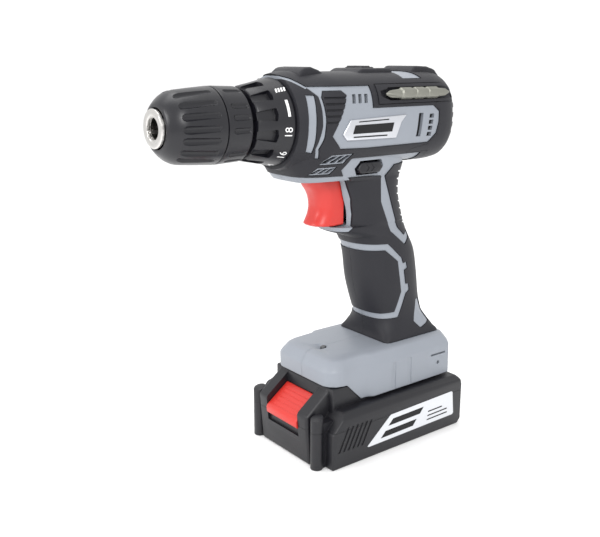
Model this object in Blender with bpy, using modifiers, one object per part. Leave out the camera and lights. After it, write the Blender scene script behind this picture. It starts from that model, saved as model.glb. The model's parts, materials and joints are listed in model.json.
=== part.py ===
"""Cordless drill driver on a slide-on battery pack.

The drill points along -X, its left side faces -Y and +Z is up.  The origin is on the
surface that the battery stands on, in the middle of the whole tool's box.  Sizes are in
millimetres and become metres in the helper functions.
"""

import math

import bmesh
import bpy
from mathutils import Matrix, Vector

MM = 0.001
GAP = 0.3  # running gap between neighbouring pieces

# Driving dimensions
AXIS_Z = 188.5  # height of the spindle
WALL = 2.5  # housing and battery wall
SKIN = 1.0  # soft overmould thickness
NOSE_X = -92.5  # front face of the chuck
REAR_X = 92.5  # rear face of the battery

# Chuck and collar
CHUCK_R = 19.1
BORE_R = 5.4
JAW_TILT = math.radians(15.0)
JAW_R = 2.4
JAW_TRAVEL = 18.0
COLLAR_FRONT_X = -45.4
COLLAR_REAR_X = -25.4
COLLAR_FRONT_R = 18.5
COLLAR_REAR_R = 22.3

# Planetary gears, with a fixed ring
SHAFT_R = 1.5
PIN_R = 1.5
MODULE = 1.0
SUN_TEETH = 9
PLANET_TEETH = 12
RING_TEETH = SUN_TEETH + 2 * PLANET_TEETH
PLANET_ORBIT = MODULE * (SUN_TEETH + PLANET_TEETH) / 2
GEAR_X = (8.0, 15.0)
GEARBOX_R = 20.6

# Motor
MOTOR_R = 17.6
MOTOR_X = (24.5, 76.0)

# Trigger and selectors
TRIGGER_HALF = 9.4
SELECTOR_CENTRE = (24.5, 163.2)
SELECTOR_SIZE = (17.0, 5.6)
SELECTOR_REACH = 20.4
SPEED_KNOB = (30.5, 39.5, 215.4)
SPEED_TRAVEL = 5.0

# Bit holder, let into the left side
TRAY_X = (24.3, 82.0)
TRAY_Z = (197.1, 206.9)
TRAY_Y = (-29.0, -23.6)
BIT_PLACE = (-27.6, 202.0)
BIT_R = 3.1

# Battery pack
BATTERY_HALF = 36.0
BATTERY_FRONT_X = -11.0
BATTERY_TOP = 31.6
PARTING_Z = 22.0
PILLAR = (-15.4, 27.3, 3.6, 30.5)  # x, y, radius, height
NOSE_HALF = 22.8
NOSE_CORNER = 5.4
NOSE_SHOULDER_Z = 29.5
NOSE_BACK = (-4.0, 41.2)  # x and z of the slope's upper end
TENON_HALF = 26.5
TENON_X = (-3.4, 72.0)
TENON_Z = 43.0
CELL_R = 9.1
CELL_LENGTH = 65.0
CELL_COUNT = 5
CELL_PITCH = 18.6
CELL_FIRST_X = 2.4
CELL_Z = 12.3
BUTTON_HALF = 14.2
SPRING_PLACE = (-8.0, 23.6, 29.3)  # x, lower end z, upper end z

# Housing sections.  Barrel: x, centre z, half height, half width, squareness.
BARREL = (
    (-23.6, 188.5, 23.0, 23.0, 2.0),
    (-19.0, 188.5, 24.3, 24.6, 2.0),
    (-12.0, 188.4, 24.8, 26.2, 2.3),
    (-2.0, 188.2, 24.4, 27.3, 3.0),
    (70.0, 188.3, 24.6, 27.3, 3.0),
    (80.0, 188.3, 24.0, 26.2, 2.8),
    (85.2, 188.2, 20.5, 22.5, 2.6),
)
# Handle, from the top down: z, front x, rear x, half width, squareness, and how far the ring
# moves up for each millimetre of offset.  The finger lip under the trigger has no hollow.
HANDLE = (
    (172.0, -22.0, 58.0, 18.4, 4.0, 0.0),
    (163.0, -20.0, 57.0, 18.4, 4.0, 0.0),
    (158.2, -16.0, 56.5, 17.6, 4.0, -1.0),
    (157.4, 12.5, 56.5, 17.4, 3.0, -1.0),
    (148.0, 14.5, 57.0, 17.0, 2.6, 0.0),
    (136.0, 17.0, 60.5, 16.6, 2.6, 0.0),
    (130.2, 17.0, 62.5, 16.6, 2.6, 0.0),
    (129.6, 11.0, 63.0, 16.4, 2.6, 0.0),
    (127.4, 12.0, 64.0, 16.4, 2.6, 0.0),
    (122.0, 27.0, 67.5, 16.6, 2.4, 0.0),
    (110.0, 32.0, 75.5, 17.0, 2.4, 0.0),
    (96.0, 34.0, 79.0, 17.0, 2.4, 0.0),
    (82.0, 37.0, 80.3, 16.8, 2.4, 0.0),
    (69.0, 40.5, 83.2, 17.2, 2.4, 0.0),
    (62.5, 43.5, 87.0, 20.0, 3.2, 0.0),
    (59.8, 44.0, 88.0, 21.4, 3.6, 0.0),
    (50.0, 46.0, 86.0, 20.0, 3.0, 0.0),
)
LIP_RINGS = (6, 7, 8)
# Foot, from the top down: z, front x, rear x, half width.
FOOT = (
    (58.6, 3.0, 84.0, 23.0),
    (57.2, -1.0, 88.0, 25.8),
    (51.5, -5.2, 91.0, 29.6),
    (33.0, -4.3, 91.0, 29.8),
)
FOOT_CORNER = 9.0
FOOT_FRONT_Z = 43.6
LIGHT_PLACE = (10.5, 58.6)
LIGHT_TILT = math.radians(20.0)


# ---------------------------------------------------------------- scene helpers

def clear_scene():
    """Empty the scene."""
    for obj in list(bpy.data.objects):
        bpy.data.objects.remove(obj, do_unlink=True)


def new_collection(name):
    """A collection linked to the scene."""
    made = bpy.data.collections.new(name)
    bpy.context.scene.collection.children.link(made)
    return made


def finish(name, colour, roughness, metallic=0.0):
    """A Principled material."""
    mat = bpy.data.materials.new(name)
    mat.use_nodes = True
    shader = mat.node_tree.nodes["Principled BSDF"]
    shader.inputs["Base Color"].default_value = (*colour, 1.0)
    shader.inputs["Roughness"].default_value = roughness
    shader.inputs["Metallic"].default_value = metallic
    mat.diffuse_color = (*colour, 1.0)
    return mat


def as_object(name, mesh, mat=None):
    """An object in the part's collection, or in the cutters' when it has no material."""
    obj = bpy.data.objects.new(name, mesh)
    if mat is None:
        CUTTERS.objects.link(obj)
        obj.hide_render = True
        obj.display_type = "WIRE"
    else:
        PARTS.objects.link(obj)
        mesh.materials.append(mat)
    return obj


def from_bmesh(name, bm, mat=None):
    """An object from a bmesh whose faces are turned outwards."""
    bmesh.ops.recalc_face_normals(bm, faces=bm.faces)
    mesh = bpy.data.meshes.new(name)
    bm.to_mesh(mesh)
    bm.free()
    return as_object(name, mesh, mat)


def baked(obj):
    """Apply an object's modifiers."""
    graph = bpy.context.evaluated_depsgraph_get()
    graph.update()
    mesh = bpy.data.meshes.new_from_object(obj.evaluated_get(graph))
    mesh.materials.clear()
    for mat in obj.data.materials:
        mesh.materials.append(mat)
    obj.modifiers.clear()
    obj.data = mesh
    return obj


def combine(obj, others, operation):
    """Boolean an object with each of the others, then apply it."""
    for other in others:
        step = obj.modifiers.new(other.name, "BOOLEAN")
        step.operation = operation
        step.object = other
        step.solver = "EXACT"
    return baked(obj)


def cut(obj, *cutters):
    """Take the cutters away from an object."""
    return combine(obj, cutters, "DIFFERENCE")


def join(obj, *others):
    """Add other solids to an object."""
    return combine(obj, others, "UNION")


def keep(obj, *others):
    """Keep only what an object shares with the others."""
    return combine(obj, others, "INTERSECT")


def copy_of(obj, name, mat=None):
    """A copy of an object with its own mesh."""
    mesh = obj.data.copy()
    mesh.materials.clear()
    made = as_object(name, mesh, mat)
    made.matrix_world = obj.matrix_world.copy()
    return made


def mirrored(obj, name, mat):
    """The same piece for the other side of the tool."""
    bm = bmesh.new()
    bm.from_mesh(obj.data)
    bmesh.ops.scale(bm, vec=(1.0, -1.0, 1.0), verts=bm.verts)
    bmesh.ops.reverse_faces(bm, faces=bm.faces)
    mesh = bpy.data.meshes.new(name)
    bm.to_mesh(mesh)
    bm.free()
    return as_object(name, mesh, mat)


def smooth(obj, angle=35.0):
    """Shade a round piece smooth and keep its edges sharp."""
    obj.data.shade_smooth()
    obj.data.set_sharp_from_angle(angle=math.radians(angle))
    return obj


# ---------------------------------------------------------------- shape helpers

def box(name, low, high, mat=None):
    """A box between two corners."""
    bm = bmesh.new()
    bmesh.ops.create_cube(bm, size=1.0)
    size = [(b - a) * MM for a, b in zip(low, high)]
    centre = Vector([(a + b) / 2 * MM for a, b in zip(low, high)])
    bmesh.ops.scale(bm, vec=size, verts=bm.verts)
    obj = from_bmesh(name, bm, mat)
    obj.location = centre
    return obj


def cylinder(name, start, end, radius, mat=None, sides=24, end_radius=None):
    """A cylinder or a cone from one point to another."""
    first, last = Vector(start) * MM, Vector(end) * MM
    bm = bmesh.new()
    bmesh.ops.create_cone(
        bm, cap_ends=True, segments=sides, radius1=radius * MM,
        radius2=(radius if end_radius is None else end_radius) * MM, depth=(last - first).length,
    )
    obj = from_bmesh(name, bm, mat)
    obj.location = (first + last) / 2
    obj.rotation_euler = (last - first).to_track_quat("Z", "Y").to_euler()
    return obj


def prism(name, outline, low, high, mat=None, axis="Y"):
    """A flat outline pushed along one axis.  The outline holds the other two axes in order."""
    place = {
        "X": lambda u, v, w: (w, u, v),
        "Y": lambda u, v, w: (u, w, v),
        "Z": lambda u, v, w: (u, v, w),
    }[axis]
    bm = bmesh.new()
    ring = [bm.verts.new(Vector(place(u, v, low)) * MM) for u, v in outline]
    face = bm.faces.new(ring)
    pushed = bmesh.ops.extrude_face_region(bm, geom=[face])
    moved = [v for v in pushed["geom"] if isinstance(v, bmesh.types.BMVert)]
    bmesh.ops.translate(bm, verts=moved, vec=Vector(place(0, 0, high - low)) * MM)
    return from_bmesh(name, bm, mat)


def turned(name, profile, mat=None, steps=32, x0=0.0):
    """A solid of revolution about the spindle axis.

    The profile is (x, radius) from the front along the outside, then back along the inside.
    The object stands on the spindle axis with its own Z forwards.
    """
    closed = profile[0][1] > 0 or profile[-1][1] > 0
    bm = bmesh.new()
    verts = [bm.verts.new((r * MM, 0.0, (x0 - x) * MM)) for x, r in profile]
    for a, b in zip(verts, verts[1:]):
        bm.edges.new((a, b))
    if closed:
        bm.edges.new((verts[-1], verts[0]))
    mesh = bpy.data.meshes.new(name)
    bm.to_mesh(mesh)
    bm.free()
    obj = as_object(name, mesh, mat)
    spin = obj.modifiers.new("turn", "SCREW")
    spin.steps = spin.render_steps = steps
    spin.use_merge_vertices = True
    spin.merge_threshold = 0.00001
    spin.use_normal_calculate = True
    obj.location = (x0 * MM, 0.0, AXIS_Z * MM)
    obj.rotation_euler = (0.0, -math.pi / 2, 0.0)
    baked(obj)
    bm = bmesh.new()
    bm.from_mesh(obj.data)
    bmesh.ops.recalc_face_normals(bm, faces=bm.faces)
    bm.to_mesh(obj.data)
    bm.free()
    return obj


def ring_points(count, half_u, half_v, power):
    """Points round a superellipse."""
    points = []
    for step in range(count):
        turn = 2 * math.pi * (step + 0.5) / count
        c, s = math.cos(turn), math.sin(turn)
        points.append((
            half_u * math.copysign(abs(c) ** (2 / power), c),
            half_v * math.copysign(abs(s) ** (2 / power), s),
        ))
    return points


def rounded_box_points(x0, x1, half, corner, per_corner=3):
    """Points round a rectangle with round corners, in plan."""
    centres = ((x1, half, 0), (x0, half, 90), (x0, -half, 180), (x1, -half, 270))
    points = []
    for x, y, start in centres:
        cx = x - math.copysign(corner, x - (x0 + x1) / 2)
        cy = y - math.copysign(corner, y)
        for step in range(per_corner):
            turn = math.radians(start + 90 * step / (per_corner - 1))
            points.append((cx + corner * math.cos(turn), cy + corner * math.sin(turn)))
    return points


def loft(name, rings, mat=None):
    """A closed solid through rings of equally many points."""
    bm = bmesh.new()
    rows = [[bm.verts.new(Vector(p) * MM) for p in ring] for ring in rings]
    for low, high in zip(rows, rows[1:]):
        for i in range(len(low)):
            j = (i + 1) % len(low)
            bm.faces.new((low[i], low[j], high[j], high[i]))
    bm.faces.new(rows[0])
    bm.faces.new(rows[-1])
    bmesh.ops.triangulate(bm, faces=bm.faces)
    return from_bmesh(name, bm, mat)


def coil(name, start, length, radius, wire, turns, axis, mat):
    """A closed coil spring as a wire along a helix."""
    per_turn = 9
    count = turns * per_turn
    curve = bpy.data.curves.new(name, "CURVE")
    curve.dimensions = "3D"
    curve.bevel_depth = wire * MM
    curve.bevel_resolution = 1
    curve.use_fill_caps = True
    spline = curve.splines.new("POLY")
    spline.points.add(count)
    for i, point in enumerate(spline.points):
        turn = 2 * math.pi * i / per_turn
        u, v = radius * math.cos(turn), radius * math.sin(turn)
        w = wire + (length - 2 * wire) * i / count
        offset = (w, u, v) if axis == "X" else (u, v, w)
        point.co = (*[(a + b) * MM for a, b in zip(start, offset)], 1.0)
    temp = bpy.data.objects.new(name, curve)
    bpy.context.scene.collection.objects.link(temp)
    graph = bpy.context.evaluated_depsgraph_get()
    mesh = bpy.data.meshes.new_from_object(temp.evaluated_get(graph))
    bpy.data.objects.remove(temp, do_unlink=True)
    bm = bmesh.new()
    bm.from_mesh(mesh)
    bmesh.ops.remove_doubles(bm, verts=bm.verts, dist=0.00001)
    return smooth(from_bmesh(name, bm, mat))


# ---------------------------------------------------------------- housing

def barrel_form(offset):
    """The barrel, grown or shrunk by an offset."""
    rings = []
    for index, (x, zc, half_z, half_y, power) in enumerate(BARREL):
        end = {0: -1.0, len(BARREL) - 1: 1.0}.get(index, 0.0)
        points = ring_points(24, half_y + offset, half_z + offset, power)
        rings.append([(x + end * offset, y, zc + z) for y, z in points])
    return loft("barrel_form", rings)


def handle_form(offset):
    """The trigger housing and the handle, grown or shrunk by an offset."""
    rings = []
    for index, (z, front, rear, half, power, rise) in enumerate(HANDLE):
        if offset < 0 and index in LIP_RINGS:
            continue
        points = ring_points(20, (rear - front) / 2 + offset, half + offset, power)
        rings.append([((front + rear) / 2 + x, y, z + rise * offset) for x, y in points])
    return loft("handle_form", rings)


def foot_form(offset, bottom):
    """The foot, grown or shrunk by an offset, down to a given height."""
    rings = []
    for index, (z, front, rear, half) in enumerate(FOOT):
        height = z + (offset if index < 2 else 0.0)
        if index == len(FOOT) - 1:
            height = bottom
        points = rounded_box_points(front - offset, rear + offset, half + offset, FOOT_CORNER + offset)
        rings.append([(x, y, height) for x, y in points])
    return loft("foot_form", rings)


def housing_form(name, offset, foot_bottom=None):
    """The whole outer form of the housing at an offset, as one solid."""
    form = barrel_form(offset)
    form.name = name
    others = [handle_form(offset)]
    if foot_bottom is not None:
        others.append(foot_form(offset, foot_bottom))
    return join(form, *others)


SCREWS = ((-7.0, 161.4), (47.0, 160.8), (46.5, 118.5), (66.0, 84.4), (3.4, 50.2), (81.6, 48.4))
BOSS_R = 3.6
SHANK_R = 1.4
HEAD_R = 2.9
HEAD_Y = 10.0


def housing_halves(mat):
    """The two clamshell halves, with their walls, bosses and openings."""
    shell = housing_form("left_housing", 0.0, foot_bottom=FOOT[-1][0])
    inner = housing_form("housing_hollow", -WALL, foot_bottom=FOOT[-1][0] - 5.0)
    bosses = [
        cylinder(f"boss_{i}", (x, -60, z), (x, 60, z), BOSS_R, sides=8) for i, (x, z) in enumerate(SCREWS)
    ]
    saddles = []
    for i, (x, radius) in enumerate(((18.0, GEARBOX_R), (34.0, MOTOR_R), (70.0, MOTOR_R))):
        plate = prism(f"saddle_{i}", [(-40, 166), (40, 166), (40, 214), (-40, 214)], x, x + 2.0, axis="X")
        hole = cylinder(f"saddle_hole_{i}", (x - 2, 0, AXIS_Z), (x + 4, 0, AXIS_Z), radius + GAP, sides=20)
        saddles.append(cut(plate, hole))
    cut(inner, *bosses, *saddles)
    gap = box("parting_gap", (-60, -GAP / 2, 20), (110, GAP / 2, 240))
    nose_hole = cylinder("nose_hole", (-40, 0, AXIS_Z), (-14, 0, AXIS_Z), GEARBOX_R + GAP, sides=24)
    selector = selector_box("selector_hole", GAP + 0.1, SELECTOR_REACH + 12)
    trigger_well = box("trigger_well", (-24, -TRIGGER_HALF - 0.4, 130.6), (24.2, TRIGGER_HALF + 0.4, 157.2))
    speed_slot = box("speed_slot", (SPEED_KNOB[0] - 2, -6.5, 205), (SPEED_KNOB[1] + SPEED_TRAVEL + 2, 6.5, 222))
    light = light_rod("light_hole", 2.0, -6.0, 4.0)
    light_cone = light_rod("light_cone", 1.6, -1.6, 2.4, end_radius=6.0)
    front_rise = prism(
        "foot_front_rise",
        [(-20, 20), (17.0, 20), (17.0, FOOT[-1][0]), (6.5, FOOT_FRONT_Z), (-20, FOOT_FRONT_Z)], -50, 50,
    )
    pocket = bit_pocket("bit_pocket")
    vents = []
    for i in range(3):
        vents.append(box(f"top_vent_{i}", (6.2 + 4.0 * i, -40, 198.8), (8.4 + 4.0 * i, 40, 203.2)))
    vents.append(box("tall_vent", (54.4, -40, 178.6), (57.9, 40, 191.2)))
    for i in range(4):
        low = 178.6 + 3.4 * i
        vents.append(box(f"small_vent_{i}", (61.0, -40, low), (64.2, 40, low + 2.2)))
    cut(shell, inner, gap, nose_hole, selector, trigger_well, speed_slot, light, light_cone, front_rise, *vents)
    right = copy_of(shell, "right_housing", mat)
    left = copy_of(shell, "left_housing_raw")
    bpy.data.objects.remove(shell, do_unlink=True)
    cut(right, box("left_side", (-80, -60, 0), (120, 0, 260)))
    cut(left, box("right_side", (-80, 0, 0), (120, 60, 260)), pocket)
    for i, (x, z) in enumerate(SCREWS):
        cut(
            right,
            cylinder(f"clear_{i}", (x, -2, z), (x, 60, z), SHANK_R + GAP, sides=10),
            screw_sink(i, x, z),
        )
        cut(left, cylinder(f"pilot_{i}", (x, -9.5, z), (x, 2, z), SHANK_R + GAP, sides=10))
    left_done = copy_of(left, "left_housing", mat)
    return smooth(left_done), smooth(right)


def screw_sink(index, x, z):
    """The wide hole over a screw's head."""
    return cylinder(f"sink_{index}", (x, HEAD_Y - 2.4, z), (x, 60, z), HEAD_R + GAP, sides=10)


def screws(mat):
    """The clamshell screws, driven from the right."""
    for i, (x, z) in enumerate(SCREWS):
        screw = cylinder(f"housing_screw_{i + 1}", (x, -8.5, z), (x, HEAD_Y - 2.0, z), SHANK_R, mat, sides=8)
        head = cylinder(f"head_{i}", (x, HEAD_Y - 2.1, z), (x, HEAD_Y, z), HEAD_R, sides=10)
        smooth(join(screw, head))


# Side outlines of the soft overmoulds, in x and z.
NOSE_OUTLINE = (
    (-30.0, 230.0), (-30.0, 150.0), (-22.0, 150.0), (-17.5, 163.0), (-13.4, 172.0), (-12.2, 190.0),
    (-13.0, 202.0), (-17.0, 207.0), (20.5, 207.2), (20.5, 195.4), (66.0, 195.2), (70.5, 200.0),
    (70.5, 230.0),
)
BUMPER_OUTLINE = (
    (71.0, 230.0), (71.0, 199.5), (66.8, 194.6), (70.4, 191.5), (70.3, 185.8), (68.5, 179.5),
    (63.2, 174.6), (20.0, 174.4), (13.0, 170.0), (49.0, 169.6), (65.5, 168.5), (65.5, 150.0), (110.0, 150.0),
    (110.0, 230.0),
)
GRIP_OUTLINE = (
    (0.0, 125.2), (30.0, 124.5), (44.5, 118.6), (56.0, 108.4), (60.2, 91.0), (61.0, 86.6), (57.0, 78.0),
    (66.0, 68.0), (100.0, 66.5), (100.0, 59.1), (30.0, 59.1), (10.0, 90.0),
)
BACK_OUTLINE = (
    (38.5, 156.8), (44.0, 162.2), (75.0, 162.2), (95.0, 140.0), (95.0, 90.0), (72.0, 84.0), (64.5, 96.0),
    (61.5, 116.0), (52.5, 125.5), (44.5, 141.0),
)


def overmoulds(mat):
    """The soft skins on each side: nose and saddle, rear bumper, grip pad and back pad."""
    outer = housing_form("skin_outside", GAP + SKIN)
    inner = housing_form("skin_inside", GAP)
    cut(outer, inner)
    away = [
        box("skin_gap", (-80, -GAP / 2, 40), (120, 60, 240)),
        selector_box("skin_selector_hole", 1.6, SELECTOR_REACH + 12),
        box("skin_trigger_well", (-24, -TRIGGER_HALF - 0.8, 129.3), (24.2, TRIGGER_HALF + 0.8, 157.6)),
        box("skin_speed_slot", (SPEED_KNOB[0] - 2, -8, 205), (SPEED_KNOB[1] + SPEED_TRAVEL + 2, 8, 222)),
        cylinder("skin_nose_hole", (-40, 0, AXIS_Z), (-23, 0, AXIS_Z), GEARBOX_R + 1.0, sides=24),
    ]
    cut(outer, *away)
    regions = {
        "nose_overmould": NOSE_OUTLINE,
        "rear_bumper": BUMPER_OUTLINE,
        "grip_pad": GRIP_OUTLINE,
        "back_pad": BACK_OUTLINE,
    }
    for name, outline in regions.items():
        skin = copy_of(outer, f"left_{name}", mat)
        keep(skin, prism(f"{name}_region", outline, -60, 60))
        right = mirrored(skin, f"right_{name}", mat)
        cut(right, *[screw_sink(i, x, z) for i, (x, z) in enumerate(SCREWS)])
        if outline in (NOSE_OUTLINE, BUMPER_OUTLINE):
            cut(skin, bit_pocket(f"{name}_bit_pocket"))
        smooth(skin)
        smooth(right)


def bit_pocket(name):
    """The pocket in the left side for the bit holder."""
    return box(name, (TRAY_X[0] - GAP, -60, TRAY_Z[0] - GAP), (TRAY_X[1] + 1.5, TRAY_Y[1] + GAP, TRAY_Z[1] + GAP))


def bit_and_holder(holder_mat, steel):
    """The double-ended screwdriver bit in its tray on the left side."""
    tray = box("bit_holder", (TRAY_X[0], TRAY_Y[0], TRAY_Z[0]), (TRAY_X[1], TRAY_Y[1], TRAY_Z[1]), holder_mat)
    trim = barrel_form(GAP + SKIN + 0.4)
    slot = box("bit_slot", (26.6, -40, 198.3), (90.0, TRAY_Y[1] - 0.8, 205.7))
    keep(tray, trim)
    cut(tray, slot)
    y, z = BIT_PLACE
    bit = cylinder("screw_bit", (34.5, y, z), (73.0, y, z), BIT_R, steel, sides=6)
    tip = cylinder("bit_tip", (29.5, y, z), (35.0, y, z), 0.8, sides=6, end_radius=2.6)
    tail = cylinder("bit_tail", (72.5, y, z), (78.0, y, z), 2.6, sides=6, end_radius=0.8)
    join(bit, tip, tail)


def label_plates(mat):
    """The flat plates on the sides of the barrel."""
    face = BARREL[4][3] + GAP
    outline = [(2.6, 179.6), (39.0, 179.2), (45.0, 191.0), (5.4, 190.6), (0.2, 183.4)]
    plate = prism("left_label_plate", outline, -face - 0.8, -face, mat)
    mirrored(plate, "right_label_plate", mat)


# ---------------------------------------------------------------- trigger and selectors

def trigger(mat):
    """The speed trigger with the stem that pushes into the switch."""
    outline = [
        (0.8, 156.4), (3.6, 150.5), (5.6, 144.5), (5.8, 138.5), (3.4, 132.5), (3.2, 130.9), (13.5, 130.9),
        (17.0, 136.5), (17.0, 156.4),
    ]
    piece = prism("trigger", outline, -TRIGGER_HALF, TRIGGER_HALF, mat)
    edge = piece.modifiers.new("rounded", "BEVEL")
    edge.width = 0.002
    edge.segments = 2
    edge.limit_method = "ANGLE"
    edge.angle_limit = math.radians(40)
    baked(piece)
    smooth(join(piece, cylinder("trigger_stem", (15, 0, 148), (32, 0, 148), 3.0, sides=12)))


def trigger_switch(mat):
    """The speed-control switch inside the handle."""
    body = box("trigger_switch", (24.6, -9.0, 132.5), (52.0, 9.0, 156.0), mat)
    cut(body, cylinder("stem_hole", (20, 0, 148), (41, 0, 148), 3.0 + GAP, sides=12))


def selector_box(name, grow, reach, mat=None):
    """The direction selector's bar, grown by a clearance."""
    (x, z), (length, height) = SELECTOR_CENTRE, SELECTOR_SIZE
    return box(
        name, (x - length / 2 - grow, -reach, z - height / 2 - grow), (x + length / 2 + grow, reach, z + height / 2 + grow),
        mat,
    )


def direction_selector(mat):
    """The push-through forward and reverse selector, with a chamfer round each end."""
    bar = selector_box("direction_selector", 0.0, SELECTOR_REACH, mat)
    edge = bar.modifiers.new("rounded", "BEVEL")
    edge.width = 0.001
    edge.segments = 2
    smooth(baked(bar))


def speed_selector(mat):
    """The two-speed slider on top of the barrel."""
    x0, x1, top = SPEED_KNOB
    knob = box("speed_selector", (x0, -7.4, 214.4), (x1, 7.4, top + 0.2), mat)
    stem = box("speed_stem", (x0 + 1, -4.5, 208.0), (x1 - 1, 4.5, 214.6))
    ridges = [box(f"ridge_{i}", (x0 + 1 + 2.4 * i, -6.6, 215), (x0 + 2.2 + 2.4 * i, 6.6, top + 0.8)) for i in range(3)]
    join(knob, stem, *ridges)


# ---------------------------------------------------------------- chuck and collar

def groove_angles(pitch, skip, per_third):
    """Angles round the chuck at a pitch, leaving one land in each third."""
    steps = int(360 / pitch)
    return [pitch * i for i in range(steps) if i % per_third != skip]


def around_axis(obj, angle):
    """Turn a piece round the spindle axis."""
    centre = Matrix.Translation((0, 0, AXIS_Z * MM))
    turn = Matrix.Rotation(math.radians(angle), 4, "X")
    bpy.context.view_layer.update()
    obj.matrix_world = centre @ turn @ centre.inverted() @ obj.matrix_world
    return obj


def front_sleeve(mat):
    """The ribbed front sleeve, which turns the nut."""
    profile = [
        (-91.0, 9.9), (-91.0, 11.6), (-89.2, 15.4), (-86.0, 17.1), (-74.0, 18.3), (-62.7, CHUCK_R), (-62.7, 15.9),
        (-86.0, 15.9), (-88.5, 13.2), (-88.5, 9.9),
    ]
    sleeve = turned("chuck_front_sleeve", profile, mat, steps=28)
    grooves = []
    for angle in groove_angles(20, 0, 6):
        groove = box(f"groove_{angle}", (-86.5, -1.5, AXIS_Z + 17.5), (-67.0, 1.5, AXIS_Z + 22.0))
        grooves.append(around_axis(groove, angle + 10))
    return smooth(cut(sleeve, *grooves))


def rear_sleeve(mat):
    """The rear sleeve, fixed to the chuck body."""
    profile = [
        (-62.3, 16.2), (-62.3, 18.9), (-60.0, 19.0), (-48.2, 18.5), (-47.6, 12.0), (-47.6, 5.0), (-48.7, 5.0),
        (-48.7, 16.2),
    ]
    return smooth(turned("chuck_rear_sleeve", profile, mat, steps=24))


def jaw_frame(index):
    """Where a jaw's axis crosses the spindle axis, its forward direction and its radial direction."""
    turn = math.radians(90 + 120 * index)
    radial = Vector((0.0, math.cos(turn), math.sin(turn)))
    forward = Vector((-math.cos(JAW_TILT), 0.0, 0.0)) - radial * math.sin(JAW_TILT)
    return radial, forward


JAW_FRONT_X = -72.0  # x of a jaw's front end when the chuck is open
JAW_FRONT_R = 8.3
JAW_LENGTH = 24.0


def jaw_rod(name, index, radius, ahead, behind, mat=None, sides=10):
    """A rod along a jaw's inclined axis."""
    radial, forward = jaw_frame(index)
    front = Vector((JAW_FRONT_X, 0.0, AXIS_Z)) + radial * JAW_FRONT_R
    return cylinder(name, front - forward * behind, front + forward * ahead, radius, mat, sides)


def chuck_body(mat):
    """The steel body with three inclined guide holes and the bore."""
    profile = [
        (NOSE_X, 9.4), (-88.0, 9.4), (-85.6, 13.0), (-82.0, 15.2), (-75.0, 15.4), (-72.8, 12.9), (-64.0, 12.9),
        (-63.8, 15.7), (-49.0, 15.7), (-49.0, 4.3), (-60.0, 4.3), (-60.0, BORE_R), (NOSE_X, BORE_R),
    ]
    body = turned("chuck_body", profile, mat, steps=24)
    guides = [jaw_rod(f"guide_{i}", i, JAW_R + GAP, JAW_TRAVEL + 1.5, JAW_LENGTH - 2.0) for i in range(3)]
    return smooth(cut(body, *guides))


def chuck_jaws(mat):
    """The three jaws, drawn back so that the chuck is open."""
    for i in range(3):
        smooth(jaw_rod(f"chuck_jaw_{i + 1}", i, JAW_R, 0.0, JAW_LENGTH - 4.0, mat))


def chuck_nut(mat):
    """The nut that the front sleeve turns, as a ring round the jaws."""
    profile = [(-72.0, 13.3), (-72.0, 15.5), (-65.0, 15.5), (-65.0, 13.3)]
    return smooth(turned("chuck_nut", profile, mat, steps=24))


def spindle(mat):
    """The output shaft from the planet carrier to the chuck."""
    profile = [(-59.5, 0.0), (-59.5, 4.0), (-46.0, 4.0), (-46.0, 6.0), (0.6, 6.0), (0.6, 0.0)]
    return smooth(turned("spindle", profile, mat, steps=16))


def spindle_bearing(mat):
    """The bearing in the gearbox nose."""
    profile = [(-13.6, 6.3), (-13.6, 11.0), (-6.6, 11.0), (-6.6, 6.3)]
    return smooth(turned("spindle_bearing", profile, mat, steps=20))


def clutch(ring_mat, spring_mat):
    """The ring that the collar turns and the spring that it presses."""
    profile = [(-42.6, 12.3), (-42.6, 16.0), (-38.4, 16.0), (-38.4, 12.3)]
    smooth(turned("adjusting_ring", profile, ring_mat, steps=24))
    coil("clutch_spring", (-38.0, 0.0, AXIS_Z), 12.5, 14.1, 0.9, 3, "X", spring_mat)


def torque_collar(mat):
    """The numbered clutch collar, with pockets round its front."""
    profile = [
        (COLLAR_FRONT_X, COLLAR_FRONT_R), (-37.8, 20.0), (-26.4, COLLAR_REAR_R), (COLLAR_REAR_X, COLLAR_REAR_R),
        (COLLAR_REAR_X, 16.3), (-43.0, 16.3), (-43.0, 9.5), (COLLAR_FRONT_X, 9.5),
    ]
    collar = turned("torque_collar", profile, mat, steps=32)
    pockets = []
    for i in range(12):
        pocket = box(f"pocket_{i}", (-48.0, -2.6, AXIS_Z + 18.0), (-36.5, 2.6, AXIS_Z + 24.0))
        pockets.append(around_axis(pocket, 30 * i + 15))
    return smooth(cut(collar, *pockets))


# ---------------------------------------------------------------- gearbox and motor

def gear_outline(teeth, inner=False):
    """Points round a gear with plain trapezoid teeth and running clearance."""
    pitch_r = MODULE * teeth / 2
    tip, root = pitch_r + 0.8 * MODULE, pitch_r - 1.1 * MODULE
    if inner:
        tip, root = pitch_r - 0.8 * MODULE, pitch_r + 1.1 * MODULE
    points = []
    step = 2 * math.pi / teeth
    for i in range(teeth):
        for share, radius in ((-0.30, root), (-0.12, tip), (0.12, tip), (0.30, root)):
            turn = step * (i + share)
            points.append((radius * math.cos(turn), radius * math.sin(turn)))
    return points


def gear_prism(name, teeth, phase, x_span, mat=None, inner=False):
    """A toothed prism along the spindle axis, turned by a phase."""
    c, s = math.cos(phase), math.sin(phase)
    outline = [(u * c - v * s, u * s + v * c) for u, v in gear_outline(teeth, inner)]
    return prism(name, outline, x_span[0], x_span[1], mat, axis="X")


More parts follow.
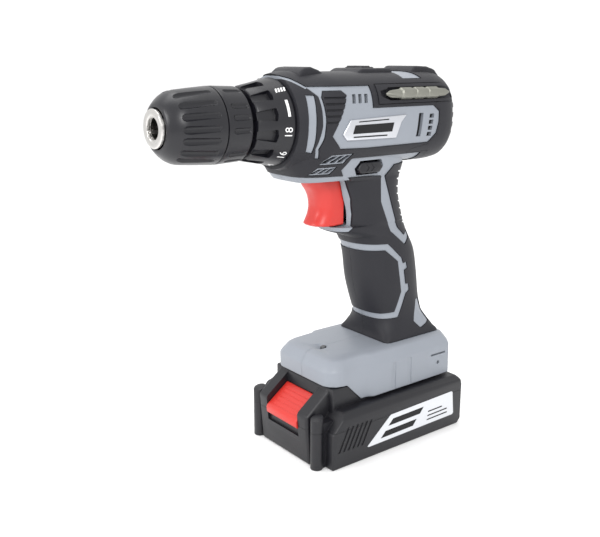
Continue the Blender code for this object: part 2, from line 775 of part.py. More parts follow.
def gears(mat):
    """The sun on the motor shaft, three planets and the fixed ring, all in mesh."""
    sun = gear_prism("motor_pinion", SUN_TEETH, 0.0, GEAR_X, mat)
    sun.location.z = AXIS_Z * MM
    cut(sun, cylinder("sun_bore", (0, 0, AXIS_Z), (30, 0, AXIS_Z), SHAFT_R + 0.05, sides=12))
    planet_pitch = 2 * math.pi / PLANET_TEETH
    for i in range(3):
        seat = 2 * math.pi * i / 3 + math.pi / 2
        share = (seat * SUN_TEETH / (2 * math.pi)) % 1.0
        phase = seat + math.pi - (0.5 - share) * planet_pitch
        centre = (PLANET_ORBIT * math.cos(seat), AXIS_Z + PLANET_ORBIT * math.sin(seat))
        planet = gear_prism(f"planet_gear_{i + 1}", PLANET_TEETH, phase, GEAR_X, mat)
        planet.location = Vector((0.0, centre[0], centre[1])) * MM
        cut(planet, cylinder(f"planet_bore_{i}", (0, *centre), (30, *centre), PIN_R + GAP, sides=12))
    ring = turned(
        "ring_gear",
        [(GEAR_X[0] - 0.6, 14.0), (GEAR_X[0] - 0.6, 18.7), (GEAR_X[1] + 0.6, 18.7), (GEAR_X[1] + 0.6, 14.0)],
        mat, steps=28,
    )
    teeth = gear_prism("ring_teeth", RING_TEETH, math.pi / RING_TEETH, (0.0, 30.0), inner=True)
    teeth.location.z = AXIS_Z * MM
    cut(ring, teeth)


def planet_carrier(mat):
    """The disc behind the spindle with a pin for each planet."""
    disc = turned("planet_carrier", [(1.0, 0.0), (1.0, 13.6), (6.6, 13.6), (6.6, 0.0)], mat, steps=24)
    pins = []
    for i in range(3):
        seat = 2 * math.pi * i / 3 + math.pi / 2
        centre = (PLANET_ORBIT * math.cos(seat), AXIS_Z + PLANET_ORBIT * math.sin(seat))
        pins.append(cylinder(f"pin_{i}", (5.0, *centre), (GEAR_X[1] - 0.5, *centre), PIN_R, sides=12))
    smooth(join(disc, *pins))


def gearbox_housing(mat):
    """The gearbox tube with the nose that carries the clutch and the spindle bearing."""
    profile = [
        (-42.6, 7.0), (-42.6, 12.0), (-25.0, 12.0), (-25.0, GEARBOX_R), (22.0, GEARBOX_R), (22.0, 19.0),
        (-2.0, 19.0), (-2.0, 11.3), (-14.0, 11.3), (-14.0, 7.0),
    ]
    smooth(turned("gearbox_housing", profile, mat, steps=24))


def motor(can_mat, steel, plastic):
    """The motor can, the rotor on its shaft and the cooling fan."""
    x0, x1 = MOTOR_X
    profile = [
        (x0, 4.0), (x0, MOTOR_R), (x1, MOTOR_R), (x1, 4.0), (x1 - 1.2, 4.0), (x1 - 1.2, MOTOR_R - 1.6),
        (x0 + 1.2, MOTOR_R - 1.6), (x0 + 1.2, 4.0),
    ]
    can = turned("motor_can", profile, can_mat, steps=20)
    slots = []
    for i in range(2):
        side = 60 * i - 30
        slots.append(box(f"can_vent_{i}", (x1 - 11, side - 24, AXIS_Z - 5), (x1 - 4, side + 24, AXIS_Z + 5)))
    smooth(cut(can, *slots))
    rotor_profile = [
        (7.2, 0.0), (7.2, SHAFT_R), (31.0, SHAFT_R), (31.0, 14.6), (56.0, 14.6), (56.0, 6.5), (62.0, 6.5),
        (62.0, SHAFT_R), (78.0, SHAFT_R), (78.0, 0.0),
    ]
    smooth(turned("rotor", rotor_profile, steel, steps=20))
    hub = turned("motor_fan", [(65.0, 1.9), (65.0, 4.5), (71.0, 4.5), (71.0, 1.9)], plastic, steps=16)
    disc = turned("fan_disc", [(69.2, 3.0), (69.2, 14.0), (70.4, 14.0), (70.4, 3.0)], steps=16)
    blades = []
    for i in range(7):
        blade = box(f"blade_{i}", (65.2, -0.5, AXIS_Z + 3.6), (69.8, 0.5, AXIS_Z + 13.4))
        blades.append(around_axis(blade, 360 / 7 * i + 4))
    join(hub, disc, *blades)


# ---------------------------------------------------------------- foot pieces

def light_rod(name, radius, low, high, mat=None, end_radius=None):
    """A rod along the work light's axis, which leans towards the chuck."""
    x, z = LIGHT_PLACE
    lean = (-math.sin(LIGHT_TILT), math.cos(LIGHT_TILT))
    ends = [(x + lean[0] * t, 0.0, z + lean[1] * t) for t in (low, high)]
    return cylinder(name, ends[0], ends[1], radius, mat, sides=14, end_radius=end_radius)


def foot_pieces(lens_mat, block_mat):
    """The work light and the block of battery terminals."""
    smooth(light_rod("work_light", 1.6, -5.0, -0.9, lens_mat))
    block = box("terminal_block", (46.0, -14.0, 46.5), (66.0, 14.0, 54.5), block_mat)
    slots = [box(f"terminal_slot_{i}", (40, -9.5 + 9 * i, 45), (62, -8.5 + 9 * i, 51)) for i in range(3)]
    cut(block, *slots)


# ---------------------------------------------------------------- battery

def nose_front(z):
    """The x of the pack's leaning front face at a height."""
    return -17.0 - 2.4 * z / NOSE_SHOULDER_Z


def battery_shells(mat):
    """The pack's lower case and upper cover."""
    side = [
        (BATTERY_FRONT_X, 0.0), (BATTERY_FRONT_X, 21.0), (-1.0, BATTERY_TOP), (89.5, BATTERY_TOP),
        (REAR_X, 26.0), (REAR_X, 3.0), (90.0, 0.0),
    ]
    across = [
        (-34.5, 0.0), (-BATTERY_HALF, 1.5), (-BATTERY_HALF, 28.4), (-32.8, BATTERY_TOP), (32.8, BATTERY_TOP),
        (BATTERY_HALF, 28.4), (BATTERY_HALF, 1.5), (34.5, 0.0),
    ]
    outer = prism("battery_outer", side, -BATTERY_HALF - 1, BATTERY_HALF + 1)
    keep(outer, prism("battery_section", across, -40, 120, axis="X"))
    nose_side = [
        (nose_front(0), 0.0), (nose_front(NOSE_SHOULDER_Z), NOSE_SHOULDER_Z), NOSE_BACK,
        (TENON_X[0], TENON_Z), (2.0, TENON_Z), (2.0, 0.0),
    ]
    nose = prism("battery_nose", nose_side, -NOSE_HALF - 1, NOSE_HALF + 1)
    plan = rounded_box_points(nose_front(NOSE_SHOULDER_Z) - 0.1, 20, NOSE_HALF, NOSE_CORNER)
    keep(nose, prism("nose_plan", plan, -5, 60, axis="Z"))
    tenon = box("battery_tenon", (TENON_X[0], -TENON_HALF, 20), (TENON_X[1], TENON_HALF, TENON_Z))
    x, y, radius, height = PILLAR
    pillars = []
    for i, seat in enumerate((-y, y)):
        pillars.append(cylinder(f"pillar_{i}", (x, seat, 0), (x, seat, height), radius, sides=14))
        pillars.append(box(f"pillar_web_{i}", (x, seat - radius + 1, 0), (-4.0, seat + radius - 1, 27.0)))
    join(outer, nose, tenon, *pillars)
    inside_y = BATTERY_HALF - WALL
    cut(
        outer,
        box("cell_room", (-7.2, -inside_y, WALL), (90.0, inside_y, PARTING_Z + 0.1)),
        box("cover_room", (-1.0, -inside_y, PARTING_Z), (87.0, inside_y, BATTERY_TOP - WALL)),
        box("tenon_room", (-1.0, -24.0, 24.0), (69.5, 24.0, TENON_Z - WALL)),
        box("nose_room", (-14.3, -20.5, WALL), (-7.0, 20.5, 16.0)),
    )
    pocket = [
        (-16.9, 15.2), (-16.9, 19.0), (-13.8, 19.5), (-3.7, 26.7), (-3.7, 60.0), (-30.0, 60.0), (-30.0, 15.2),
    ]
    spring_x, spring_low, _ = SPRING_PLACE
    half = BUTTON_HALF + GAP
    cut(
        outer,
        prism("button_pocket", pocket, -half, half),
        cylinder("spring_well", (spring_x, 0, spring_low - 0.2), (spring_x, 0, 40), 2.6, sides=12),
    )
    for i in range(3):
        cut(outer, box(f"contact_slot_{i}", (30, -9.8 + 9 * i, 36), (80, -8.2 + 9 * i, 50)))
    case = copy_of(outer, "battery_case", mat)
    cover = copy_of(outer, "battery_cover", mat)
    keep(case, box("below_parting", (-60, -60, -5), (120, 60, PARTING_Z - GAP / 2)))
    keep(cover, box("above_parting", (-60, -60, PARTING_Z + GAP / 2), (120, 60, 80)))


def battery_inside(cell_mat, board_mat):
    """The five cells across the pack and the board above them."""
    for i in range(CELL_COUNT):
        x = CELL_FIRST_X + CELL_PITCH * i
        ends = [(x, side * CELL_LENGTH / 2, CELL_Z) for side in (-1, 1)]
        smooth(cylinder(f"battery_cell_{i + 1}", ends[0], ends[1], CELL_R, cell_mat, sides=20))
    box("battery_board", (2.0, -20.0, 24.0), (64.0, 20.0, 25.6), board_mat)


def release_button(mat, spring_mat):
    """The release button on the pack's slope and the spring under it."""
    outline = [
        (-18.9, 19.0), (-19.4, 24.6), (-4.0, 35.6), (-4.0, 30.5), (-14.0, 23.4), (-17.2, 22.8), (-17.2, 19.0),
    ]
    button = prism("release_button", outline, -BUTTON_HALF, BUTTON_HALF, mat)
    x, low, high = SPRING_PLACE
    cut(button, cylinder("button_well", (x, 0, 20), (x, 0, high + 0.3), 2.6, sides=12))
    coil("button_spring", (x, 0.0, low), high - low, 1.8, 0.3, 3, "Z", spring_mat)


# ---------------------------------------------------------------- assembly

def build():
    """Make every piece."""
    grey = finish("housing_grey", (0.43, 0.46, 0.52), 0.45)
    soft = finish("overmould_black", (0.065, 0.065, 0.07), 0.6)
    black = finish("collar_black", (0.045, 0.045, 0.05), 0.35)
    pack = finish("battery_black", (0.05, 0.05, 0.055), 0.45)
    red = finish("control_red", (0.8, 0.1, 0.07), 0.4)
    steel = finish("steel", (0.55, 0.55, 0.55), 0.3, 1.0)
    spring = finish("spring_steel", (0.5, 0.5, 0.52), 0.35, 1.0)
    bit_steel = finish("bit_steel", (0.45, 0.45, 0.43), 0.45, 1.0)
    gear_steel = finish("gear_steel", (0.4, 0.4, 0.42), 0.4, 1.0)
    nylon = finish("gearbox_nylon", (0.08, 0.08, 0.085), 0.55)
    housing_halves(grey)
    screws(spring)
    overmoulds(soft)
    bit_and_holder(soft, bit_steel)
    label_plates(finish("label_silver", (0.75, 0.76, 0.78), 0.3, 0.6))
    trigger(red)
    trigger_switch(nylon)
    direction_selector(soft)
    speed_selector(soft)
    front_sleeve(black)
    rear_sleeve(black)
    chuck_body(steel)
    chuck_nut(gear_steel)
    chuck_jaws(gear_steel)
    spindle(steel)
    spindle_bearing(steel)
    torque_collar(black)
    clutch(nylon, spring)
    gearbox_housing(nylon)
    gears(gear_steel)
    planet_carrier(gear_steel)
    motor(finish("motor_zinc", (0.5, 0.5, 0.48), 0.4, 1.0), gear_steel, nylon)
    foot_pieces(finish("light_lens", (0.85, 0.87, 0.9), 0.15), nylon)
    battery_shells(pack)
    battery_inside(
        finish("cell_wrap", (0.1, 0.3, 0.55), 0.4), finish("board_green", (0.03, 0.2, 0.08), 0.5)
    )
    release_button(red, spring)


clear_scene()
PARTS = new_collection("cordless_drill")
CUTTERS = new_collection("cutters")
build()
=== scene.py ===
"""Cordless drill driver: its finished surfaces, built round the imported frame.

Lengths are in millimetres and become metres on the bench.  The chuck points along -X, the
left side faces -Y and +Z is up.
"""

from __future__ import annotations

import json
import logging
import math
from dataclasses import dataclass, field
from enum import Enum
from typing import Iterable, Sequence

import bmesh
import bpy
from mathutils import Euler, Matrix, Vector

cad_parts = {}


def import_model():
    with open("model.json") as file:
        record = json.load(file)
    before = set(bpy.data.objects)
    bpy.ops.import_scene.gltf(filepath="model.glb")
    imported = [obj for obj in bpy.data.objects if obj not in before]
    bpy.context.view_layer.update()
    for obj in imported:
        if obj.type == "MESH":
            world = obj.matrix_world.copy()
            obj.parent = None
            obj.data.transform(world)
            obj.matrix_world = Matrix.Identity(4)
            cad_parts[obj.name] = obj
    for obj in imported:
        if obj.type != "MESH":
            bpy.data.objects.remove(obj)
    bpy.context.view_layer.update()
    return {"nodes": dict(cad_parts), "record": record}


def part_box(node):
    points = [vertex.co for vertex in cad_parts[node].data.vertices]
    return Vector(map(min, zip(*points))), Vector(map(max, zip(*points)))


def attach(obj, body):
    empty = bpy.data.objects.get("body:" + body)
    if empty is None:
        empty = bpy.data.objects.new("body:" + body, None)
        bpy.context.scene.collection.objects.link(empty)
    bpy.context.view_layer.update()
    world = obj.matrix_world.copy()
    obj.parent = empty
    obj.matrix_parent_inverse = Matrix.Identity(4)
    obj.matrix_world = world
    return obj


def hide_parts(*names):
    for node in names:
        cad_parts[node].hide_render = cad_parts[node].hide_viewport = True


LOG = logging.getLogger("drill")
MM = 0.001
MERGE = 0.002  # points this close are one, in millimetres
CAPITAL_SHARE = 0.72  # of a text's size, its capitals' height
Point2 = tuple[float, float]
Point3 = tuple[float, float, float]
Colour = tuple[float, float, float]


class Axis(Enum):
    """The direction that an outline is pushed along."""

    X = "X"
    Y = "Y"
    Z = "Z"


class Cut(Enum):
    """What a Boolean does with its second solid."""

    AWAY = "DIFFERENCE"
    JOIN = "UNION"
    KEEP = "INTERSECT"


# ---------------------------------------------------------------- finishes

def display(red: int, green: int, blue: int) -> Colour:
    """A colour from its display values, made linear.

    Args:
        red: Red, 0 to 255.
        green: Green, 0 to 255.
        blue: Blue, 0 to 255.

    Returns:
        The linear colour.
    """
    parts = (value / 255 for value in (red, green, blue))
    return tuple(p / 12.92 if p <= 0.04045 else ((p + 0.055) / 1.055) ** 2.4 for p in parts)


def tints(colour: Colour, spread: float) -> list[tuple[float, ...]]:
    """A colour made darker and lighter by a share, with full alpha."""
    return [(*(min(1.0, part * factor) for part in colour), 1.0) for factor in (1 - spread, 1 + spread)]


class Shade:
    """A value in a material; its operators add Math nodes."""

    def __init__(self, paint: Paint, socket: bpy.types.NodeSocket) -> None:
        """Wrap one output socket of a paint's tree."""
        self.paint = paint
        self.socket = socket

    def _maths(self, operation: str, first: object, second: object) -> Shade:
        """The result of one Math node."""
        made = self.paint.node("ShaderNodeMath", {"operation": operation}, {0: first, 1: second})
        return Shade(self.paint, made.outputs[0])

    def __add__(self, other: Shade | float) -> Shade:
        """Sum."""
        return self._maths("ADD", self, other)

    def __radd__(self, other: float) -> Shade:
        """Sum, with the value on the right."""
        return self._maths("ADD", other, self)

    def __sub__(self, other: Shade | float) -> Shade:
        """Difference."""
        return self._maths("SUBTRACT", self, other)

    def __rsub__(self, other: float) -> Shade:
        """Difference, with the value on the right."""
        return self._maths("SUBTRACT", other, self)

    def __mul__(self, other: Shade | float) -> Shade:
        """Product."""
        return self._maths("MULTIPLY", self, other)

    def __rmul__(self, other: float) -> Shade:
        """Product, with the value on the right."""
        return self._maths("MULTIPLY", other, self)

    def above(self, level: float) -> Shade:
        """1 where the value is above a level, else 0."""
        return self._maths("GREATER_THAN", self, level)


class Paint:
    """A material's node tree, with short ways to add to it."""

    def __init__(self, name: str) -> None:
        """Start a material with a Principled shader."""
        self.material = bpy.data.materials.new(name)
        self.material.use_nodes = True
        self.tree = self.material.node_tree
        self.shader = self.tree.nodes["Principled BSDF"]
        self.place = self.node("ShaderNodeTexCoord").outputs["Object"]

    def node(self, kind: str, settings: dict | None = None, values: dict | None = None) -> bpy.types.Node:
        """Add a node.

        Args:
            kind: The node's type.
            settings: Its own properties, set first.
            values: Its inputs, by name or number: links or plain values.

        Returns:
            The new node.
        """
        made = self.tree.nodes.new(kind)
        for key, value in (settings or {}).items():
            setattr(made, key, value)
        for key, value in (values or {}).items():
            self.feed(made.inputs[key], value)
        return made

    def feed(self, socket: bpy.types.NodeSocket, value: object) -> None:
        """Link a value into a socket, or set it there.

        Args:
            socket: The input.
            value: A shade, an output socket or a plain value.
        """
        source = value.socket if isinstance(value, Shade) else value
        if isinstance(source, bpy.types.NodeSocket):
            self.tree.links.new(source, socket)
        else:
            socket.default_value = source

    def surface(self, values: dict[str, object]) -> None:
        """Link or set inputs of the Principled shader, by name."""
        for name, value in values.items():
            self.feed(self.shader.inputs[name], value)

    def noise(self, size: float, detail: float = 2.0, stretch: Point3 = (1.0, 1.0, 1.0)) -> Shade:
        """Noise with features of a size.

        Args:
            size: Feature size in millimetres.
            detail: How many finer layers it has.
            stretch: How much denser it is along each axis.

        Returns:
            A value round 0.5.
        """
        placed = self.node("ShaderNodeMapping", {}, {"Vector": self.place, "Scale": stretch})
        values = {"Vector": placed.outputs[0], "Scale": 1 / (size * MM), "Detail": detail}
        return Shade(self, self.node("ShaderNodeTexNoise", {}, values).outputs["Fac"])

    def grains(self, size: float) -> Shade:
        """Rounded grains of a size in millimetres, as on a sparked mould."""
        made = self.node("ShaderNodeTexVoronoi", {}, {"Vector": self.place, "Scale": 1 / (size * MM)})
        return Shade(self, made.outputs["Distance"])

    def blend(self, mask: Shade, low: Sequence[float], high: Sequence[float]) -> bpy.types.NodeSocket:
        """A colour between two colours."""
        mixed = self.node("ShaderNodeMix", {"data_type": "RGBA"}, {0: mask, 6: low, 7: high})
        return mixed.outputs[2]

    def relief(self, height: Shade, depth: float, rounding: float) -> None:
        """Give the surface a fine relief over softly rounded edges.

        Args:
            height: The pattern.
            depth: Its depth in millimetres.
            rounding: The radius that sharp edges are shaded with, in millimetres.
        """
        edge = self.node("ShaderNodeBevel", {"samples": 4}, {"Radius": rounding * MM})
        values = {"Height": height, "Distance": depth * MM, "Normal": edge.outputs[0]}
        self.surface({"Normal": self.node("ShaderNodeBump", {}, values).outputs[0]})


@dataclass(frozen=True)
class Moulded:
    """A moulded plastic or rubber finish."""

    name: str
    colour: Colour
    roughness: float
    grain: float = 0.45
    depth: float = 0.02
    mottle: float = 0.06
    specular: float = 0.5
    coat: float = 0.0
    sheen: float = 0.0
    rounding: float = 0.35

    def make(self) -> bpy.types.Material:
        """Build the material: clouded colour, fine grain and light scuffs.

        Returns:
            The material.
        """
        paint = Paint(self.name)
        cloud = paint.noise(22.0, 3.0)
        flow = paint.noise(5.0, 2.0, (1.0, 1.0, 0.35))
        grain = paint.grains(self.grain)
        scuff = paint.noise(1.6, 4.0, (0.4, 1.0, 2.5)).above(0.68)
        paint.surface({
            "Base Color": paint.blend(0.65 * cloud + 0.35 * flow, *tints(self.colour, self.mottle)),
            "Roughness": self.roughness - 0.06 + 0.1 * cloud + 0.04 * grain + 0.04 * scuff,
            "Specular IOR Level": self.specular, "Coat Weight": self.coat, "Coat Roughness": 0.25,
            "Sheen Weight": self.sheen, "Sheen Roughness": 0.4,
        })
        paint.relief(grain + 0.5 * paint.noise(self.grain * 0.6, 1.0), self.depth, self.rounding)
        return paint.material


@dataclass(frozen=True)
class Machined:
    """A metal finish with tool marks along one axis."""

    name: str
    colour: Colour
    roughness: float
    stretch: Point3 = (1.0, 1.0, 1.0)
    mark: float = 0.25
    depth: float = 0.01
    dulling: float = 0.12
    rounding: float = 0.2

    def make(self) -> bpy.types.Material:
        """Build the material: tool marks over a faint stain.

        Returns:
            The material.
        """
        paint = Paint(self.name)
        marks = paint.noise(self.mark, 3.0, self.stretch)
        stain = paint.noise(4.0, 3.0)
        paint.surface({
            "Base Color": paint.blend(stain, *tints(self.colour, self.dulling)), "Metallic": 1.0,
            "Roughness": self.roughness - 0.08 + 0.1 * marks + 0.1 * stain,
        })
        paint.relief(marks, self.depth, self.rounding)
        return paint.material


@dataclass(frozen=True)
class Clear:
    """A clear lens or a glossy printed film."""

    name: str
    colour: Colour
    roughness: float
    transmission: float = 0.0

    def make(self) -> bpy.types.Material:
        """Build the material: a thin haze under a glossy coat.

        Returns:
            The material.
        """
        paint = Paint(self.name)
        haze = paint.noise(1.2, 3.0)
        paint.surface({
            "Base Color": paint.blend(haze, *tints(self.colour, 0.04)), "Roughness": self.roughness + 0.08 * haze,
            "Transmission Weight": self.transmission, "Coat Weight": 0.3,
        })
        paint.relief(haze, 0.004, 0.2)
        return paint.material


class Finish(Enum):
    """The finishes of the tool."""

    GREY = Moulded("grey_housing", display(132, 137, 145), 0.44, grain=0.5, depth=0.012, specular=0.45, coat=0.1)
    SOFT = Moulded("soft_overmould", display(26, 26, 32), 0.56, grain=0.4, depth=0.03, specular=0.35, sheen=0.06)
    PAD = Moulded("grip_rubber", display(33, 33, 38), 0.7, grain=0.55, depth=0.05, specular=0.3, sheen=0.1)
    SLEEVE = Moulded("sleeve_black", display(17, 17, 23), 0.34, grain=0.35, depth=0.01, specular=0.42, coat=0.08)
    PACK = Moulded("pack_black", display(20, 20, 25), 0.42, grain=0.6, depth=0.02, specular=0.45)
    RED = Moulded("control_red", display(190, 42, 34), 0.38, grain=0.5, depth=0.006, mottle=0.04, coat=0.1)
    MARKING = Moulded("marking_white", display(236, 236, 236), 0.45, mottle=0.02)
    # black print; the same finish is also the painted shade behind the vents and frame slots
    PRINT = Moulded("print_and_shade_black", display(16, 16, 18), 0.5, mottle=0.03, specular=0.3)
    LABEL = Clear("label_film", display(205, 207, 211), 0.22)
    PLATE = Machined("label_plate", display(206, 208, 213), 0.32, (1.0, 1.0, 14.0), dulling=0.04)
    STEEL = Machined("turned_steel", display(205, 203, 200), 0.2, (14.0, 1.0, 1.0), dulling=0.06)
    BIT = Machined("bit_steel", display(142, 142, 134), 0.5, (0.2, 3.0, 3.0), mark=0.5, depth=0.03)
    GEAR = Machined("gear_steel", display(150, 150, 152), 0.35)
    NYLON = Moulded("inner_nylon", display(40, 40, 42), 0.6)
    ZINC = Machined("motor_zinc", display(180, 178, 170), 0.35)
    LENS = Clear("lamp_lens", display(70, 72, 76), 0.08, transmission=0.3)
    CELL = Moulded("cell_wrap", display(60, 120, 170), 0.35)
    BOARD = Moulded("board_green", display(30, 90, 50), 0.4)

    def material(self) -> bpy.types.Material:
        """The finish's material, made once."""
        if self not in READY:
            READY[self] = self.value.make()
        return READY[self]


READY: dict[Finish, bpy.types.Material] = {}


# ---------------------------------------------------------------- modelling bench

class Bench:
    """Where every solid is drawn, cut and finished."""

    @staticmethod
    def clear() -> None:
        """Leave edit mode and deselect everything."""
        if bpy.context.object and bpy.context.object.mode != "OBJECT":
            bpy.ops.object.mode_set(mode="OBJECT")
        bpy.ops.object.select_all(action="DESELECT")

    @classmethod
    def take(cls, *objs: bpy.types.Object) -> None:
        """Select some objects only, with the first one active.

        Args:
            objs: The objects.
        """
        cls.clear()
        for obj in objs:
            obj.select_set(True)
        bpy.context.view_layer.objects.active = objs[0]

    @staticmethod
    def named(obj: bpy.types.Object, name: str) -> bpy.types.Object:
        """Name an object and its mesh."""
        obj.name = obj.data.name = name
        return obj

    @classmethod
    def ring(cls, name: str, points: Sequence[Point3], filled: bool) -> bpy.types.Object:
        """A closed outline, left in edit mode with all of it selected.

        Args:
            name: The object's name.
            points: Its corners in order, in millimetres.
            filled: Whether a face fills it.

        Returns:
            The new object.
        """
        cls.clear()
        fill = "NGON" if filled else "NOTHING"
        bpy.ops.mesh.primitive_circle_add(vertices=len(points), radius=MM, fill_type=fill)
        obj = cls.named(bpy.context.object, name)
        bpy.ops.object.mode_set(mode="EDIT")
        mesh = bmesh.from_edit_mesh(obj.data)
        place = mesh.verts.layers.int.new("place")
        mesh.verts.ensure_lookup_table()
        for index, vert in enumerate(mesh.verts):
            vert[place] = index
            vert.co = Vector(points[index]) * MM
        bmesh.update_edit_mesh(obj.data)
        return obj

    @classmethod
    def sweep(cls, name: str, rings: Sequence[Sequence[Point3]]) -> bpy.types.Object:
        """A closed solid extruded from ring to ring.

        Args:
            name: The object's name.
            rings: Rings of equally many points, in millimetres.

        Returns:
            The new object.
        """
        obj = cls.ring(name, rings[0], filled=True)
        for ring in rings[1:]:
            bpy.ops.mesh.extrude_region_move(TRANSFORM_OT_translate={"value": (0.0, 0.0, MM)})
            mesh = bmesh.from_edit_mesh(obj.data)
            place = mesh.verts.layers.int["place"]
            for vert in mesh.verts:
                if vert.select:
                    vert.co = Vector(ring[vert[place]]) * MM
            bmesh.update_edit_mesh(obj.data)
        return cls.close(obj)

    @classmethod
    def close(cls, obj: bpy.types.Object) -> bpy.types.Object:
        """Merge doubles, turn the faces outwards and leave edit mode.

        Args:
            obj: The object in edit mode.

        Returns:
            The same object.
        """
        bpy.ops.mesh.select_all(action="SELECT")
        bpy.ops.mesh.remove_doubles(threshold=MERGE * MM)
        bpy.ops.mesh.normals_make_consistent(inside=False)
        bpy.ops.object.mode_set(mode="OBJECT")
        layer = obj.data.attributes.get("place")
        if layer:
            obj.data.attributes.remove(layer)
        return obj

    @classmethod
    def prism(
        cls, name: str, outline: Sequence[Point2], low: float, high: float, axis: Axis = Axis.Y
    ) -> bpy.types.Object:
        """An outline pushed along an axis.

        Args:
            name: The object's name.
            outline: The other two coordinates of its corners, in order.
            low: Where it starts along the axis.
            high: Where it ends.
            axis: The axis.

        Returns:
            The new object.
        """
        at = "XYZ".index(axis.value)
        return cls.sweep(name, [[(*corner[:at], level, *corner[at:]) for corner in outline] for level in (low, high)])

    @classmethod
    def box(cls, name: str, low: Point3, high: Point3) -> bpy.types.Object:
        """A block between two corners, drawn as an outline and extruded."""
        (x0, y0, z0), (x1, y1, z1) = low, high
        return cls.prism(name, [(x0, y0), (x1, y0), (x1, y1), (x0, y1)], z0, z1, Axis.Z)

    @classmethod
    def turn(cls, name: str, profile: Sequence[Point2], steps: int, height: float) -> bpy.types.Object:
        """A closed profile spun round the spindle's direction.

        Args:
            name: The object's name.
            profile: Its corners as x and radius, all the way round.
            steps: How many steps make a turn.
            height: The height of the axis.

        Returns:
            The new object.
        """
        obj = cls.ring(name, [(x, 0.0, height + radius) for x, radius in profile], filled=False)
        bpy.ops.mesh.spin(
            steps=steps, angle=2 * math.pi, center=(0.0, 0.0, height * MM), axis=(1.0, 0.0, 0.0), dupli=False
        )
        return cls.close(obj)

    @classmethod
    def rod(
        cls, name: str, start: Point3, end: Point3, radius: float, sides: int = 32, end_radius: float | None = None
    ) -> bpy.types.Object:
        """A round rod or cone between two points.

        Args:
            name: The object's name.
            start: The first end.
            end: The second end.
            radius: The radius at the first end.
            sides: How many sides it has.
            end_radius: The radius at the second end, if another.

        Returns:
            The new object.
        """
        way = (Vector(end) - Vector(start)).normalized()
        side = way.orthogonal().normalized()
        other = way.cross(side)
        rings = []
        for centre, size in ((Vector(start), radius), (Vector(end), radius if end_radius is None else end_radius)):
            turns = (2 * math.pi * i / sides for i in range(sides))
            rings.append([tuple(centre + size * (side * math.cos(t) + other * math.sin(t))) for t in turns])
        return cls.sweep(name, rings)

    @classmethod
    def capsule(cls, name: str, start: Point3, end: Point3, radius: float) -> bpy.types.Object:
        """A rod with round ends, drawn out of a ball.

        Args:
            name: The object's name.
            start: The middle of its first end.
            end: The middle of its second end.
            radius: Its radius.

        Returns:
            The new object.
        """
        first, last = Vector(start) * MM, Vector(end) * MM
        cls.clear()
        bpy.ops.mesh.primitive_uv_sphere_add(segments=16, ring_count=8, radius=radius * MM)
        obj = cls.named(bpy.context.object, name)
        bpy.ops.object.mode_set(mode="EDIT")
        bpy.ops.mesh.select_all(action="DESELECT")
        mesh = bmesh.from_edit_mesh(obj.data)
        for vert in mesh.verts:
            vert.select_set(vert.co.z > radius * MM * 0.01)
        mesh.select_flush(True)
        bmesh.update_edit_mesh(obj.data)
        bpy.ops.transform.translate(value=(0.0, 0.0, (last - first).length))
        bpy.ops.object.mode_set(mode="OBJECT")
        turn = (last - first).to_track_quat("Z", "Y").to_matrix().to_4x4()
        obj.data.transform(Matrix.Translation(first) @ turn)
        return obj

    @classmethod
    def together(cls, objs: Sequence[bpy.types.Object]) -> bpy.types.Object:
        """Join separate solids into one object.

        Args:
            objs: The solids.

        Returns:
            The first of them, with the others in it.
        """
        if len(objs) > 1:
            cls.take(*objs)
            bpy.ops.object.join()
        return objs[0]

    @classmethod
    def carve(
        cls, body: bpy.types.Object, *tools: bpy.types.Object, cut: Cut = Cut.AWAY, crossing: bool = False
    ) -> bpy.types.Object:
        """Boolean one solid with others in turn, which are used up.

        Args:
            body: The solid that stays.
            tools: The other solids.
            cut: What to do with them.
            crossing: Whether a tool's own solids cross each other.

        Returns:
            The solid that stays.
        """
        for tool in tools:
            cls.take(body)
            bpy.ops.object.modifier_add(type="BOOLEAN")
            step = body.modifiers[-1]
            step.operation = cut.value
            step.object = tool
            step.solver = "EXACT"
            step.use_self = crossing
            bpy.ops.object.modifier_apply(modifier=step.name)
            bpy.data.objects.remove(tool, do_unlink=True)
        return body

    @classmethod
    def copy(cls, obj: bpy.types.Object, name: str) -> bpy.types.Object:
        """A copy with its own mesh.

        Args:
            obj: The object to copy.
            name: The copy's name.

        Returns:
            The copy.
        """
        cls.take(obj)
        bpy.ops.object.duplicate()
        return cls.named(bpy.context.object, name)

    @classmethod
    def mirror(cls, obj: bpy.types.Object, name: str) -> bpy.types.Object:
        """The same solid for the other side of the tool.

        Args:
            obj: The solid to copy.
            name: The other one's name.

        Returns:
            The mirrored copy.
        """
        made = cls.copy(obj, name)
        made.data.transform(Matrix.Diagonal((1.0, -1.0, 1.0, 1.0)))
        cls.take(made)
        bpy.ops.object.mode_set(mode="EDIT")
        bpy.ops.mesh.select_all(action="SELECT")
        bpy.ops.mesh.flip_normals()
        bpy.ops.object.mode_set(mode="OBJECT")
        return made

    @classmethod
    def round_edges(
        cls, obj: bpy.types.Object, width: float, segments: int = 3, angle: float = 30.0
    ) -> bpy.types.Object:
        """Round every edge sharper than an angle.

        Args:
            obj: The solid.
            width: The rounding's width in millimetres.
            segments: How many facets round it.
            angle: The smallest angle that is rounded, in degrees.

        Returns:
            The same solid.
        """
        cls.take(obj)
        bpy.ops.object.modifier_add(type="BEVEL")
        step = obj.modifiers[-1]
        step.width = width * MM
        step.segments = segments
        step.limit_method = "ANGLE"
        step.angle_limit = math.radians(angle)
        step.harden_normals = False
        bpy.ops.object.modifier_apply(modifier=step.name)
        return obj

